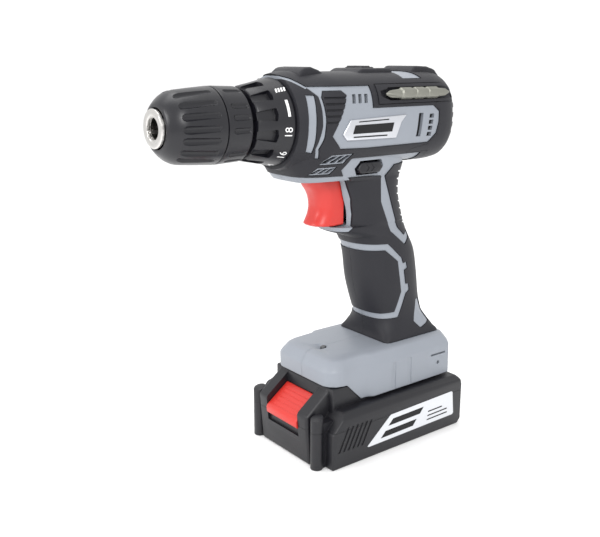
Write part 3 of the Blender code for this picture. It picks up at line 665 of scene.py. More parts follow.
    @classmethod
    def about_axis(cls, obj: bpy.types.Object, angle: float, height: float) -> bpy.types.Object:
        """Turn a solid about the spindle's axis.

        Args:
            obj: The solid.
            angle: The turn in degrees, from -Y towards +Z.
            height: The height of the axis.

        Returns:
            The same solid.
        """
        centre = Matrix.Translation((0.0, 0.0, height * MM))
        turn = Matrix.Rotation(math.radians(-angle), 4, "X")
        obj.data.transform(centre @ turn @ centre.inverted())
        return obj

    @classmethod
    def dress(
        cls, obj: bpy.types.Object, finish: Finish, body: str, slot: str, nodes: Iterable[str] = (),
        smooth: float = 32.0,
    ) -> bpy.types.Object:
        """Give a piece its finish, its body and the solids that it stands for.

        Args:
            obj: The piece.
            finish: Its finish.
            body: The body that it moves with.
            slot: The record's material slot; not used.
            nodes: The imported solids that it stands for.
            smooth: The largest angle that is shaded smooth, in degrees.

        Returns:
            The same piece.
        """
        if obj.data.materials:
            obj.data.materials[0] = finish.material()
        else:
            obj.data.materials.append(finish.material())
        cls.take(obj)
        bpy.ops.object.shade_smooth_by_angle(angle=math.radians(smooth))
        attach(obj, body)
        if nodes:
            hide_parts(*nodes)
        LOG.info("%s: %d faces on %s", obj.name, len(obj.data.polygons), body)
        return obj

    @classmethod
    def dress_pair(
        cls, left: bpy.types.Object, finish: Finish, body: str, slot: str, nodes: Iterable[str] = ()
    ) -> None:
        """Copy a left piece to the right side and dress both.

        Args:
            left: The left piece, with its side in its name.
            finish: Their finish.
            body: The body that they move with.
            slot: The record's material slot.
            nodes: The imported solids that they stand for, without the side.
        """
        right = cls.mirror(left, left.name.replace("left", "right"))
        for side, piece in (("left", left), ("right", right)):
            cls.dress(piece, finish, body, slot, [f"{side}_{node}" for node in nodes])


def side_span(sense: float, near: float, far: float) -> Point2:
    """A stretch across one side of the tool, low end first."""
    return (near, far) if sense > 0 else (-far, -near)


def grown(outline: Sequence[Point2], distance: float) -> list[Point2]:
    """An outline moved outwards, or inwards where the distance is negative.

    Args:
        outline: Its corners in order.
        distance: How far each side moves.

    Returns:
        The new corners.
    """
    area = sum(a[0] * b[1] - b[0] * a[1] for a, b in zip(outline, [*outline[1:], outline[0]]))
    sense = 1.0 if area > 0 else -1.0
    moved = []
    for i, here in enumerate(outline):
        back, ahead = outline[i - 1], outline[(i + 1) % len(outline)]
        first = Vector((here[1] - back[1], back[0] - here[0])).normalized() * sense
        second = Vector((ahead[1] - here[1], here[0] - ahead[0])).normalized() * sense
        corner = first + second
        size = distance * 2 / max(corner.length_squared, 0.7)
        moved.append((here[0] + corner.x * size, here[1] + corner.y * size))
    return moved


def eased(rows: Sequence[Sequence[float]], spacing: float) -> list[list[float]]:
    """Rows of section sizes filled in smoothly, without overshoot.

    Args:
        rows: Sections, with their position first and in order.
        spacing: The widest gap between the new sections.

    Returns:
        The old and the new sections in order.
    """
    def slope(i: int, k: int) -> float:
        """The size's change between two sections."""
        return (rows[i + 1][k] - rows[i][k]) / (rows[i + 1][0] - rows[i][0])

    def tangent(i: int, k: int) -> float:
        """The size's slope at a section, level where it turns."""
        if i in (0, len(rows) - 1):
            return slope(min(i, len(rows) - 2), k)
        before, after = slope(i - 1, k), slope(i, k)
        return 0.0 if before * after <= 0 else 2 * before * after / (before + after)

    filled = []
    for i in range(len(rows) - 1):
        span = rows[i + 1][0] - rows[i][0]
        count = max(1, math.ceil(abs(span) / spacing))
        for step in range(count):
            t = step / count
            row = [rows[i][0] + span * t]
            for k in range(1, len(rows[0])):
                ease = (2 * t ** 3 - 3 * t * t + 1, t ** 3 - 2 * t * t + t, 3 * t * t - 2 * t ** 3, t ** 3 - t * t)
                row.append(
                    ease[0] * rows[i][k] + ease[1] * span * tangent(i, k)
                    + ease[2] * rows[i + 1][k] + ease[3] * span * tangent(i + 1, k)
                )
            filled.append(row)
    filled.append(list(rows[-1]))
    return filled


def superellipse(count: int, half_u: float, half_v: float, power: float) -> list[Point2]:
    """Points round a superellipse.

    Args:
        count: How many points.
        half_u: The first half size.
        half_v: The second half size.
        power: Its squareness; 2 is an ellipse.

    Returns:
        The points in order.
    """
    points = []
    for step in range(count):
        turn = 2 * math.pi * (step + 0.5) / count
        parts = ((half_u, math.cos(turn)), (half_v, math.sin(turn)))
        points.append(tuple(half * math.copysign(abs(part) ** (2 / power), part) for half, part in parts))
    return points


# ---------------------------------------------------------------- housing

@dataclass
class BodyForm:
    """The tool's outer form: barrel, handle and foot, at any offset."""

    axis_z: float
    wall: float = 2.5
    # Barrel: x, centre z, half height, half width, squareness.
    barrel_rows: tuple = (
        (-23.6, 188.5, 23.0, 23.0, 2.0), (-19.0, 188.5, 24.3, 24.6, 2.0), (-12.0, 188.3, 24.2, 26.2, 2.3),
        (-2.0, 188.2, 23.9, 27.3, 3.0), (70.0, 188.2, 23.9, 27.3, 3.0), (80.0, 188.2, 23.4, 26.2, 2.8),
        (83.4, 188.2, 22.6, 24.6, 2.6), (85.2, 188.2, 20.5, 22.5, 2.5),
    )
    # Handle, from the top down: z, front x, rear x, half width, squareness, rise with offset.
    handle_rows: tuple = (
        (172.0, -22.0, 58.0, 22.6, 3.6, 0.0), (166.0, -21.0, 57.4, 21.4, 3.8, 0.0),
        (161.5, -18.5, 56.8, 19.4, 4.0, -0.5), (158.2, -16.0, 56.5, 17.8, 4.0, -1.0),
        (157.4, 12.5, 56.5, 17.4, 3.2, -1.0), (148.0, 14.5, 57.0, 17.0, 2.8, 0.0),
        (136.0, 17.0, 60.5, 16.6, 2.6, 0.0), (130.2, 17.0, 62.5, 16.6, 2.6, 0.0),
        (129.6, 11.0, 63.0, 16.4, 2.6, 0.0), (127.4, 12.0, 64.0, 16.4, 2.6, 0.0),
        (122.0, 27.0, 66.2, 16.6, 2.4, 0.0), (110.0, 32.0, 72.6, 17.0, 2.4, 0.0),
        (96.0, 34.0, 75.6, 17.0, 2.4, 0.0), (82.0, 38.0, 77.6, 16.8, 2.4, 0.0),
        (72.0, 42.0, 79.6, 17.0, 2.6, 0.0), (66.0, 43.4, 81.6, 18.2, 4.0, 0.0), (61.6, 43.6, 82.6, 19.8, 8.0, 0.0),
        (58.8, 42.6, 84.2, 20.6, 14.0, 0.0), (50.0, 44.0, 82.0, 19.0, 14.0, 0.0),
    )
    hollow_skips: tuple = (7, 8, 9)  # the finger lip is solid
    # Foot, from the top down: z, front x, rear x, half width.
    foot_rows: tuple = (
        (58.6, 2.0, 84.4, 23.6), (57.4, -1.6, 88.0, 26.2), (52.0, -5.2, 91.0, 29.4), (33.0, -4.3, 91.0, 29.8),
    )

    def barrel(self, offset: float) -> bpy.types.Object:
        """The barrel.

        Args:
            offset: How far it is grown, or shrunk where negative.

        Returns:
            The barrel as a solid.
        """
        rings = []
        rows = eased(self.barrel_rows, 6.0)
        for index, (x, centre, half_z, half_y, power) in enumerate(rows):
            end = {0: -1.0, len(rows) - 1: 1.0}.get(index, 0.0)
            shape = superellipse(80, half_y + offset, half_z + offset, power)
            rings.append([(x + end * offset, y, centre + z) for y, z in shape])
        return Bench.sweep("barrel_form", rings)

    def handle(self, offset: float) -> bpy.types.Object:
        """The trigger housing and the handle.

        Args:
            offset: How far they are grown, or shrunk where negative.

        Returns:
            Both as one solid.
        """
        rows = [row for i, row in enumerate(self.handle_rows) if offset >= 0 or i not in self.hollow_skips]
        rings = []
        for z, front, rear, half, power, rise in eased(rows, 2.6):
            shape = superellipse(72, (rear - front) / 2 + offset, half + offset, power)
            rings.append([((front + rear) / 2 + x, y, z + rise * offset) for x, y in shape])
        return Bench.sweep("handle_form", rings)

    def grip(self, name: str, offset: float) -> bpy.types.Object:
        """Barrel and handle as one solid, grown by an offset."""
        return Bench.named(Bench.carve(self.barrel(offset), self.handle(offset), cut=Cut.JOIN), name)

    def foot_outline(self, front: float, rear: float, half: float) -> list[Point2]:
        """The foot's plan: round front corners, a step out on each side and cut rear corners.

        Args:
            front: The x of its front.
            rear: The x of its rear.
            half: Its half width.

        Returns:
            The plan's corners.
        """
        side = [
            (front, half - 10.4), (front + 1.6, half - 6.8), (front + 4.6, half - 4.2), (front + 8.8, half - 2.9),
            (21.0, half - 2.0), (24.6, half), (rear - 5.0, half), (rear, half - 6.0),
        ]
        return [*((x, -y) for x, y in side), *reversed(side)]

    def foot(self, name: str, offset: float) -> bpy.types.Object:
        """The foot.

        Args:
            name: The object's name.
            offset: How far it is grown, or shrunk where negative; a shrunk one is open below.

        Returns:
            The foot as a solid.
        """
        rings = []
        for index, (z, front, rear, half) in enumerate(self.foot_rows):
            level = z + (offset if index < 2 else 0.0) - (8.0 if offset < 0 and index == 3 else 0.0)
            plan = self.foot_outline(front - offset, rear + offset, half + offset)
            rings.append([(x, y, level) for x, y in plan])
        foot = Bench.sweep(name, rings)
        return Bench.round_edges(foot, 0.9, 3, 31.0) if offset >= 0 else foot


SCREWS = ((-7.0, 161.4), (47.0, 160.8), (46.5, 118.5), (66.0, 84.4), (3.4, 50.2), (81.6, 48.4))
HALF_GAP = 0.06  # from the middle plane to each half
SEAM = 0.12  # from a grey stripe's outline to the skin round it


@dataclass
class Panels:
    """The side outlines of the grey panel, its stripes and the soft skins, in x and z."""

    panel: tuple = (
        (-17.4, 206.6), (20.4, 206.6), (20.4, 195.3), (65.4, 195.2), (70.0, 191.7), (69.9, 185.9),
        (68.3, 179.7), (63.0, 174.9), (18.2, 174.6), (-0.6, 175.2), (-6.6, 182.1), (-1.2, 191.3),
        (1.7, 197.9), (3.2, 202.3), (0.6, 204.4), (-9.8, 204.4), (-11.4, 201.3), (-10.3, 190.3),
        (-11.0, 181.3), (-12.8, 175.8), (-10.8, 170.6), (-12.8, 170.6), (-14.6, 176.0), (-12.4, 187.3),
        (-12.5, 194.7), (-13.0, 201.8),
    )
    brow: tuple = ((-30.0, 214.4), (-21.6, 210.6), (-16.2, 206.0), (-17.4, 205.2), (-22.4, 209.0), (-30.0, 212.6))
    crescent: tuple = (
        (-19.2, 202.6), (-19.8, 195.0), (-20.1, 187.0), (-19.8, 180.0), (-19.0, 174.4), (-15.6, 173.6),
        (-15.6, 180.0), (-15.8, 187.0), (-15.5, 195.0), (-14.8, 202.4),
    )
    crown: tuple = ((45.6, 230.0), (59.6, 230.0), (62.4, 209.4), (48.4, 209.4))
    guard: tuple = (
        (-24.0, 160.9), (3.0, 160.2), (8.4, 159.8), (12.4, 158.2), (15.0, 155.5), (18.6, 145.7), (20.4, 136.8),
        (20.2, 130.4), (17.6, 127.2), (6.0, 125.8), (-30.0, 125.8), (-30.0, 160.9),
    )
    spine: tuple = (
        (4.8, 163.3), (10.6, 169.4), (48.0, 169.2), (61.0, 169.2), (61.0, 164.0), (44.1, 163.3), (39.1, 157.1),
        (51.9, 126.2), (57.7, 120.9), (62.4, 123.4), (63.8, 119.6), (57.3, 115.6), (45.6, 124.8), (37.2, 142.9),
        (36.0, 157.4), (28.3, 158.2), (8.4, 158.6),
    )
    ring_outer: tuple = (
        (20.0, 117.0), (29.0, 118.0), (44.0, 117.5), (54.6, 107.9), (56.0, 104.4), (58.6, 105.0), (59.6, 101.2),
        (57.0, 100.2), (58.6, 91.6), (61.2, 91.2), (61.8, 87.2), (59.2, 85.8), (53.6, 71.8), (44.0, 71.2),
        (37.6, 71.4), (20.0, 69.6),
    )
    ring_inner: tuple = (
        (16.0, 112.8), (29.9, 114.0), (42.3, 113.9), (51.6, 106.4), (55.2, 87.4), (51.0, 75.4), (43.6, 74.6),
        (37.4, 74.8), (16.0, 73.2),
    )
    heel: tuple = ((69.0, 79.8), (65.6, 67.4), (70.2, 62.6), (79.4, 65.2), (73.0, 79.8))
    knob_hole: tuple = ((14.4, 163.3), (17.2, 167.3), (32.2, 167.3), (35.0, 163.3), (32.2, 159.4), (17.2, 159.4))
    frames: tuple = (
        ((-4.6, 172.2), (9.4, 172.2), (5.2, 167.0), (-10.0, 167.0)),
        ((-10.4, 165.6), (1.2, 165.6), (-2.4, 161.7), (-14.6, 161.7)),
    )
    bumper: tuple = (
        (71.0, 240.0), (71.0, 199.5), (66.8, 195.4), (71.2, 191.9), (71.1, 185.8), (69.3, 179.3), (63.6, 174.0),
        (52.0, 172.0), (49.0, 169.9), (66.0, 169.9), (66.0, 150.0), (110.0, 150.0), (110.0, 240.0),
    )


@dataclass
class Housing:
    """The two grey clamshell halves with their soft skins, stripes and plates."""

    form: BodyForm
    panels: Panels = field(default_factory=Panels)
    skin: float = 1.3
    trim: float = 0.8
    seat: float = 0.15
    nose_radius: float = 20.9
    well_half: float = 9.8
    well_z: Point2 = (130.4, 157.3)
    well_rear: float = 24.2
    slider: Point2 = (28.5, 46.5)
    dock_x: Point2 = (24.0, 83.5)
    dock_z: Point2 = (196.8, 207.2)
    dock_depth: float = -23.2
    lamp: Point2 = (10.5, 58.6)
    lamp_lean: float = math.radians(20.0)
    foot_steps: tuple = ((39.0, 41.6), (51.8, 54.2))
    step_depth: float = 0.6
    def slots(self) -> list[list[Point2]]:
        """The panel's vents and the slots in the two slanted frames.

        Returns:
            Their outlines in x and z.
        """
        made = [[(x, 197.9), (x + 2.2, 197.9), (x + 2.9, 202.4), (x + 0.7, 202.4)] for x in (6.6, 10.7, 14.8)]
        made.append([(53.0, 178.6), (56.4, 178.6), (57.9, 191.2), (54.4, 191.2)])
        for i in range(4):
            x, z = 61.2 + 0.45 * i, 178.4 + 3.3 * i
            made.append([(x, z), (x + 3.4, z), (x + 3.7, z + 2.2), (x + 0.3, z + 2.2)])
        for left, right, low_right, low_left in self.panels.frames:
            high, low = left[1] - 0.75, low_left[1] + 0.75
            for share in (0.07, 0.38, 0.69):
                top = [left[0] + (right[0] - left[0]) * s for s in (share, share + 0.24)]
                base = [low_left[0] + (low_right[0] - low_left[0]) * s for s in (share, share + 0.24)]
                made.append([(base[0], low), (base[1], low), (top[1], high), (top[0], high)])
        return made

    def side_prism(self, name: str, outline: Sequence[Point2], deep: float = 0.0) -> bpy.types.Object:
        """An outline pushed through the left side."""
        return Bench.prism(name, outline, -60.0, -deep)

    def side_prisms(self, outlines: Iterable[Sequence[Point2]], deep: float = 0.0) -> bpy.types.Object:
        """Several outlines pushed through the left side, as one cutter."""
        return Bench.together([self.side_prism(f"side_{i}", o, deep) for i, o in enumerate(outlines)])

    def side_ring(self, clearance: float) -> bpy.types.Object:
        """The grip's ring pushed through the left side, wider by a clearance."""
        ring = self.side_prism("ring", grown(self.panels.ring_outer, clearance))
        return Bench.carve(ring, Bench.prism("ring_hole", grown(self.panels.ring_inner, -clearance), -70.0, 10.0))

    def lamp_rod(self, name: str, radius: float, low: float, high: float, end: float | None = None) -> bpy.types.Object:
        """A rod along the work light's axis.

        Args:
            name: The object's name.
            radius: The radius at its inner end.
            low: Where it starts along the axis.
            high: Where it ends.
            end: The radius there, if another.

        Returns:
            The rod.
        """
        x, z = self.lamp
        lean = (-math.sin(self.lamp_lean), math.cos(self.lamp_lean))
        ends = [(x + lean[0] * t, 0.0, z + lean[1] * t) for t in (low, high)]
        return Bench.rod(name, ends[0], ends[1], radius, 32, end)

    def mouth(self, rear: float, radius: float) -> bpy.types.Object:
        """The round opening for the collar."""
        axis_z = self.form.axis_z
        return Bench.rod("mouth", (-40.0, 0.0, axis_z), (rear, 0.0, axis_z), radius, 64)

    def slider_room(self, half: float) -> bpy.types.Object:
        """The slot that the speed slider moves in."""
        return Bench.box("slider_slot", (self.slider[0], -half, 205.0), (self.slider[1], half, 230.0))

    def shell(self) -> bpy.types.Object:
        """The whole grey housing, hollow, with everything that both halves share cut into it.

        Returns:
            The shell.
        """
        shell, hollow = (
            Bench.carve(self.form.grip("shell", offset), self.form.foot("foot", offset), cut=Cut.JOIN)
            for offset in (0.0, -self.form.wall)
        )
        Bench.carve(hollow, *(Bench.rod("boss", (x, -60.0, z), (x, 60.0, z), 3.6, 24) for x, z in SCREWS))
        rise = [(-20.0, 20.0), (17.0, 20.0), (17.0, 33.0), (6.5, 43.6), (-20.0, 43.6)]
        return Bench.carve(
            shell, hollow, self.mouth(-14.0, self.nose_radius), self.well("trigger_well", 0.0), self.slider_room(6.5),
            Bench.prism("foot_rise", rise, -50.0, 50.0), self.lamp_rod("lamp_hole", 1.9, -7.0, 4.0),
            self.lamp_rod("lamp_cone", 1.9, -1.7, 2.6, 7.2),
            Bench.prism("knob_hole", self.panels.knob_hole, -60.0, 60.0),
        )

    def well(self, name: str, extra: float) -> bpy.types.Object:
        """The space that the trigger moves in.

        Args:
            name: The object's name.
            extra: How much wider it is on each side.

        Returns:
            The space as a solid.
        """
        half, (low, high) = self.well_half + extra, self.well_z
        well = Bench.box(name, (-30.0, -half, low - extra), (self.well_rear, half, high + extra))
        return Bench.round_edges(well, 1.2, 3)

    def foot_details(self, half: bpy.types.Object) -> None:
        """Cut steps, a thin slot and a test hole in the foot's left side.

        Args:
            half: The housing.
        """
        for x0, x1 in self.foot_steps:
            step = Bench.box("foot_step", (x0, -40.0, 28.0), (x1, self.step_depth - 29.8, 50.2))
            Bench.carve(half, Bench.round_edges(step, 0.3, 2))
        slot = Bench.box("foot_slot", (70.6, -40.0, 46.5), (83.0, -27.9, 47.6))
        Bench.carve(half, slot, Bench.rod("test_hole", (76.8, -40.0, 41.6), (76.8, -26.0, 41.6), 1.15, 20))

    def humps(self) -> bpy.types.Object:
        """Raised pads along the barrel's top.

        Returns:
            The pads as one object.
        """
        outlines = (
            [(-17.5, 208.0), (-16.4, 213.0), (-13.0, 215.6), (-8.0, 216.0), (-3.0, 214.4), (1.5, 212.0), (2.0, 208.0)],
            [(20.0, 208.0), (22.4, 212.6), (26.6, 215.0), (47.0, 215.0), (50.0, 213.0), (52.0, 208.0)],
            [(60.6, 208.0), (63.0, 213.6), (66.4, 216.0), (76.0, 215.6), (82.0, 214.0), (86.0, 210.0), (86.4, 206.0)],
        )
        pads = [Bench.round_edges(Bench.prism(f"hump_{i}", o, -12.5, 12.5), 1.5, 3, 25) for i, o in enumerate(outlines)]
        return Bench.together(pads)

    def skins(self) -> dict[str, bpy.types.Object]:
        """The left side's black skins and grey stripes, cut out of thin offset layers.

        Returns:
            The four left pieces by their short names.
        """
        pan = self.panels
        core = self.form.grip("core", self.seat)
        layer = Bench.carve(self.form.grip("layer", self.skin), self.humps(), cut=Cut.JOIN)
        raised = Bench.carve(self.form.grip("raised", self.trim), Bench.copy(core, "core_copy"))
        Bench.carve(layer, core)
        for solid in (layer, raised):
            Bench.carve(
                solid, Bench.box("far_side", (-90.0, -HALF_GAP, 30.0), (130.0, 90.0, 260.0)),
                self.well("well_mouth", 0.25), self.mouth(-23.7, self.nose_radius + 0.5), self.slider_room(7.8),
                self.side_prism("knob", grown(pan.knob_hole, 0.1)),
            )
        whole = [pan.panel, pan.brow, pan.crescent, pan.crown, pan.guard, pan.spine, pan.heel, *pan.frames]
        greys = Bench.together([self.side_ring(0.0), self.side_prisms(grown(o, -SEAM) for o in whole)])
        Bench.carve(layer, self.side_ring(SEAM), *(self.side_prism("grey_room", grown(o, SEAM)) for o in whole))
        Bench.carve(raised, greys, cut=Cut.KEEP, crossing=True)
        Bench.carve(raised, self.side_prisms(self.slots()))
        Bench.carve(layer, self.window_ribs(), self.palm_ribs())
        bumper = Bench.carve(Bench.copy(layer, "left_bumper"), self.side_prism("rear", pan.bumper), cut=Cut.KEEP)
        Bench.carve(bumper, self.rear_notches())
        Bench.carve(layer, self.side_prism("rear_room", grown(pan.bumper, 0.15)))
        upper = [(-60.0, 159.4), (9.0, 159.2), (20.0, 163.0), (130.0, 163.0), (130.0, 240.0), (-60.0, 240.0)]
        nose = Bench.carve(Bench.copy(layer, "left_nose_skin"), self.side_prism("upper", upper), cut=Cut.KEEP)
        foot_room = Bench.box("foot_room", (-90.0, -90.0, 0.0), (130.0, 90.0, 58.7))
        Bench.carve(layer, self.side_prism("upper_room", upper), foot_room)
        return {
            "nose": nose, "bumper": bumper, "grip": Bench.named(layer, "left_grip_skin"),
            "trim": Bench.named(raised, "left_trim"),
        }

    def window_ribs(self) -> bpy.types.Object:
        """Grooves between the thumb window's ribs."""
        heights = (188.4 + 3.0 * i for i in range(5))
        slabs = [Bench.box("rib", (-10.4, -40.0, low), (2.9, -18.0, low + 1.1)) for low in heights]
        return Bench.carve(Bench.together(slabs), self.form.barrel(0.5))

    def rear_at(self, z: float) -> float:
        """The handle's rear x at a height.

        Args:
            z: The height.

        Returns:
            The x there.
        """
        rows = self.form.handle_rows
        for high, low in zip(rows, rows[1:]):
            if high[0] >= z >= low[0]:
                return low[2] + (high[2] - low[2]) * (z - low[0]) / (high[0] - low[0])
        return rows[-1][2]

    def palm_ribs(self) -> bpy.types.Object:
        """Grooves that wrap round the handle's back.

        Returns:
            The cutters as one object.
        """
        slabs = []
        for z in [*(127.0 + 4.4 * i for i in range(8)), *(84.0 + 4.6 * i for i in range(7))]:
            x = self.rear_at(z) - (6.4 if z > 120 else 3.4)
            wedge = [(x, z), (x + 30.0, z - 2.6), (x + 30.0, z - 1.0), (x, z + 1.4)]
            slabs.append(Bench.prism("groove", wedge, -40.0, 1.0))
        return Bench.carve(Bench.together(slabs), self.form.handle(0.55))

    def rear_notches(self) -> bpy.types.Object:
        """Steps in the bumper's rear edge."""
        heights = (168.6 + 5.4 * i for i in range(6))
        return Bench.together([Bench.box("notch", (84.2, -40.0, low), (90.0, -11.0, low + 2.8)) for low in heights])

    def bit_pocket(self) -> bpy.types.Object:
        """The room for the bit dock."""
        return Bench.box(
            "dock_room", (self.dock_x[0], -60.0, self.dock_z[0]), (self.dock_x[1], self.dock_depth, self.dock_z[1])
        )

    def sinks(self) -> bpy.types.Object:
        """The wide holes over the screw heads, on the right side."""
        return Bench.together([Bench.rod("sink", (x, 7.6, z), (x, 60.0, z), 3.2, 24) for x, z in SCREWS])

    def build(self) -> None:
        """Make both sides."""
        shell = self.shell()
        parts = self.skins()
        self.foot_details(shell)
        right = Bench.carve(
            Bench.copy(shell, "right_housing_skin"), Bench.box("cut_left", (-90, -90, 0), (130, HALF_GAP, 260))
        )
        left = Bench.carve(shell, Bench.box("cut_right", (-90, -HALF_GAP, 0), (130, 90, 260)))
        Bench.named(left, "left_housing_skin")
        for x0, x1 in self.foot_steps:
            Bench.carve(right, Bench.box("foot_step", (x0, 29.8 - self.step_depth, 28.0), (x1, 40.0, 50.2)))
        vents = self.side_prisms(self.slots(), 15.0)
        Bench.carve(right, Bench.mirror(vents, "right_vents"))
        Bench.carve(left, vents, Bench.box("panel_groove", (49.2, -40.0, 177.5), (49.7, -27.0, 192.7)))
        nodes = {"nose": ["nose_overmould"], "bumper": ["rear_bumper"], "grip": ["grip_pad", "back_pad"], "trim": []}
        for part, piece in parts.items():
            other = Bench.carve(Bench.mirror(piece, piece.name.replace("left", "right")), self.sinks())
            if part in ("nose", "bumper"):
                Bench.carve(piece, self.bit_pocket())
            finish, slot = (Finish.GREY, "housing_grey") if part == "trim" else (Finish.SOFT, "overmould_black")
            for side, obj in (("left", piece), ("right", other)):
                Bench.dress(obj, finish, "housing", slot, [f"{side}_{node}" for node in nodes[part]])
        Bench.carve(left, self.bit_pocket())
        Bench.carve(right, self.sinks())
        Bench.dress(left, Finish.GREY, "housing", "housing_grey", ["left_housing"])
        Bench.dress(right, Finish.GREY, "housing", "housing_grey", ["right_housing"])
        # painted shade: black sheets behind the vents and frame slots
        self.slot_floors()
        self.plates()
        lens = Bench.round_edges(self.lamp_rod("lamp_lens", 1.7, -5.0, -0.6), 0.5, 3)
        Bench.dress(lens, Finish.LENS, "housing", "light_lens", ["work_light"])

    def slot_floors(self) -> None:
        """Dark floors behind the vents and in the two frames: painted shade, black sheets where the hollow inside would
        only be in shadow.
        """
        # painted shade: a thin black layer just inside the wall, kept only behind the slots
        floor = Bench.carve(self.form.grip("left_slot_floor", -1.1), self.form.grip("floor_back", -2.2))
        rooms = self.side_prisms(grown(o, 0.25) for o in self.slots())
        Bench.carve(floor, rooms, cut=Cut.KEEP, crossing=True)
        Bench.dress_pair(floor, Finish.PRINT, "housing", "overmould_black")

    def plates(self) -> None:
        """The bright plates with plain printed bars."""
        outline = [(4.6, 189.7), (-0.4, 182.7), (2.4, 179.4), (37.0, 179.0), (40.6, 187.0), (44.6, 191.0)]
        bars = (
            [(10.0, 188.3), (31.0, 188.7), (31.2, 189.3), (10.2, 188.9)],
            [(6.0, 182.6), (33.6, 182.5), (35.0, 187.2), (7.6, 187.0)],
            [(6.4, 180.6), (30.0, 180.4), (30.2, 181.1), (6.6, 181.3)],
        )
        face = -28.9
        plate = Bench.round_edges(Bench.prism("left_plate", outline, face, -26.4), 0.5, 3)
        printed = Bench.together([Bench.prism("bar", bar, face - 0.1, face + 0.2) for bar in bars])
        Bench.dress_pair(plate, Finish.PLATE, "housing", "label_silver", ["label_plate"])
        Bench.dress_pair(Bench.named(printed, "left_plate_print"), Finish.PRINT, "housing", "label_silver")


# ---------------------------------------------------------------- bit and controls

@dataclass
class BitDock:
    """The tray in the left side with the double-ended screwdriver bit."""

    form: BodyForm
    centre: Point2 = (-27.6, 202.0)
    bit_x: Point2 = (29.5, 78.0)

    def tray(self) -> None:
        """The tray, with a raised rim and a rounded end to its slot."""
        tray = Bench.box("bit_tray", (24.3, -33.0, 197.1), (82.0, -23.6, 206.9))
        Bench.carve(tray, self.form.barrel(1.75), cut=Cut.KEEP)
        slot = Bench.round_edges(Bench.box("slot", (31.4, -40.0, 198.6), (95.0, -24.4, 205.4)), 1.6, 4)
        Bench.carve(tray, slot, Bench.rod("nose_room", (26.4, -26.4, 202.0), (32.4, -27.6, 202.0), 1.6, 24, 3.2))
        Bench.dress(tray, Finish.SOFT, "housing", "overmould_black", ["bit_holder"])

    def bit(self) -> None:
        """The bit: hexagon body, round necks and fluted tips."""
        y, z = self.centre
        front, rear = self.bit_x
        half, waist, neck = 3.18, 2.75, 2.35
        ends = [
            (0.0, 0.0), (0.5, 0.55), (3.6, 1.9), (8.6, neck), (10.0, neck), (11.0, half), (18.0, half), (18.6, waist),
            (20.6, waist), (21.2, half),
        ]
        profile = [*((front + x, r) for x, r in ends), *((rear - x, r) for x, r in reversed(ends))]
        bit = Bench.turn("driver_bit", profile, 36, z)
        bit.data.transform(Matrix.Translation((0.0, y * MM, 0.0)))
        flat = 2.98
        for i in range(6):
            turn = math.radians(60 * i + 30)
            side = Bench.box("flat", (front + 9.6, -9.0, -9.0), (rear - 9.6, 9.0, -flat))
            side.data.transform(Matrix.Translation((0.0, y * MM, z * MM)) @ Matrix.Rotation(turn, 4, "X"))
            Bench.carve(bit, side)
        for end, sense in ((front, 1.0), (rear, -1.0)):
            for i in range(4):
                turn = math.radians(90 * i + 45)
                c, s = math.cos(turn), math.sin(turn)
                start, stop = (end - sense, y + 1.15 * c, z + 1.15 * s), (end + sense * 9.0, y + 3.3 * c, z + 3.3 * s)
                Bench.carve(bit, Bench.rod("flute", start, stop, 0.95, 16))
        Bench.dress(bit, Finish.BIT, "housing", "bit_steel", ["screw_bit"], 25.0)

    def build(self) -> None:
        """Make the tray and the bit."""
        self.tray()
        self.bit()


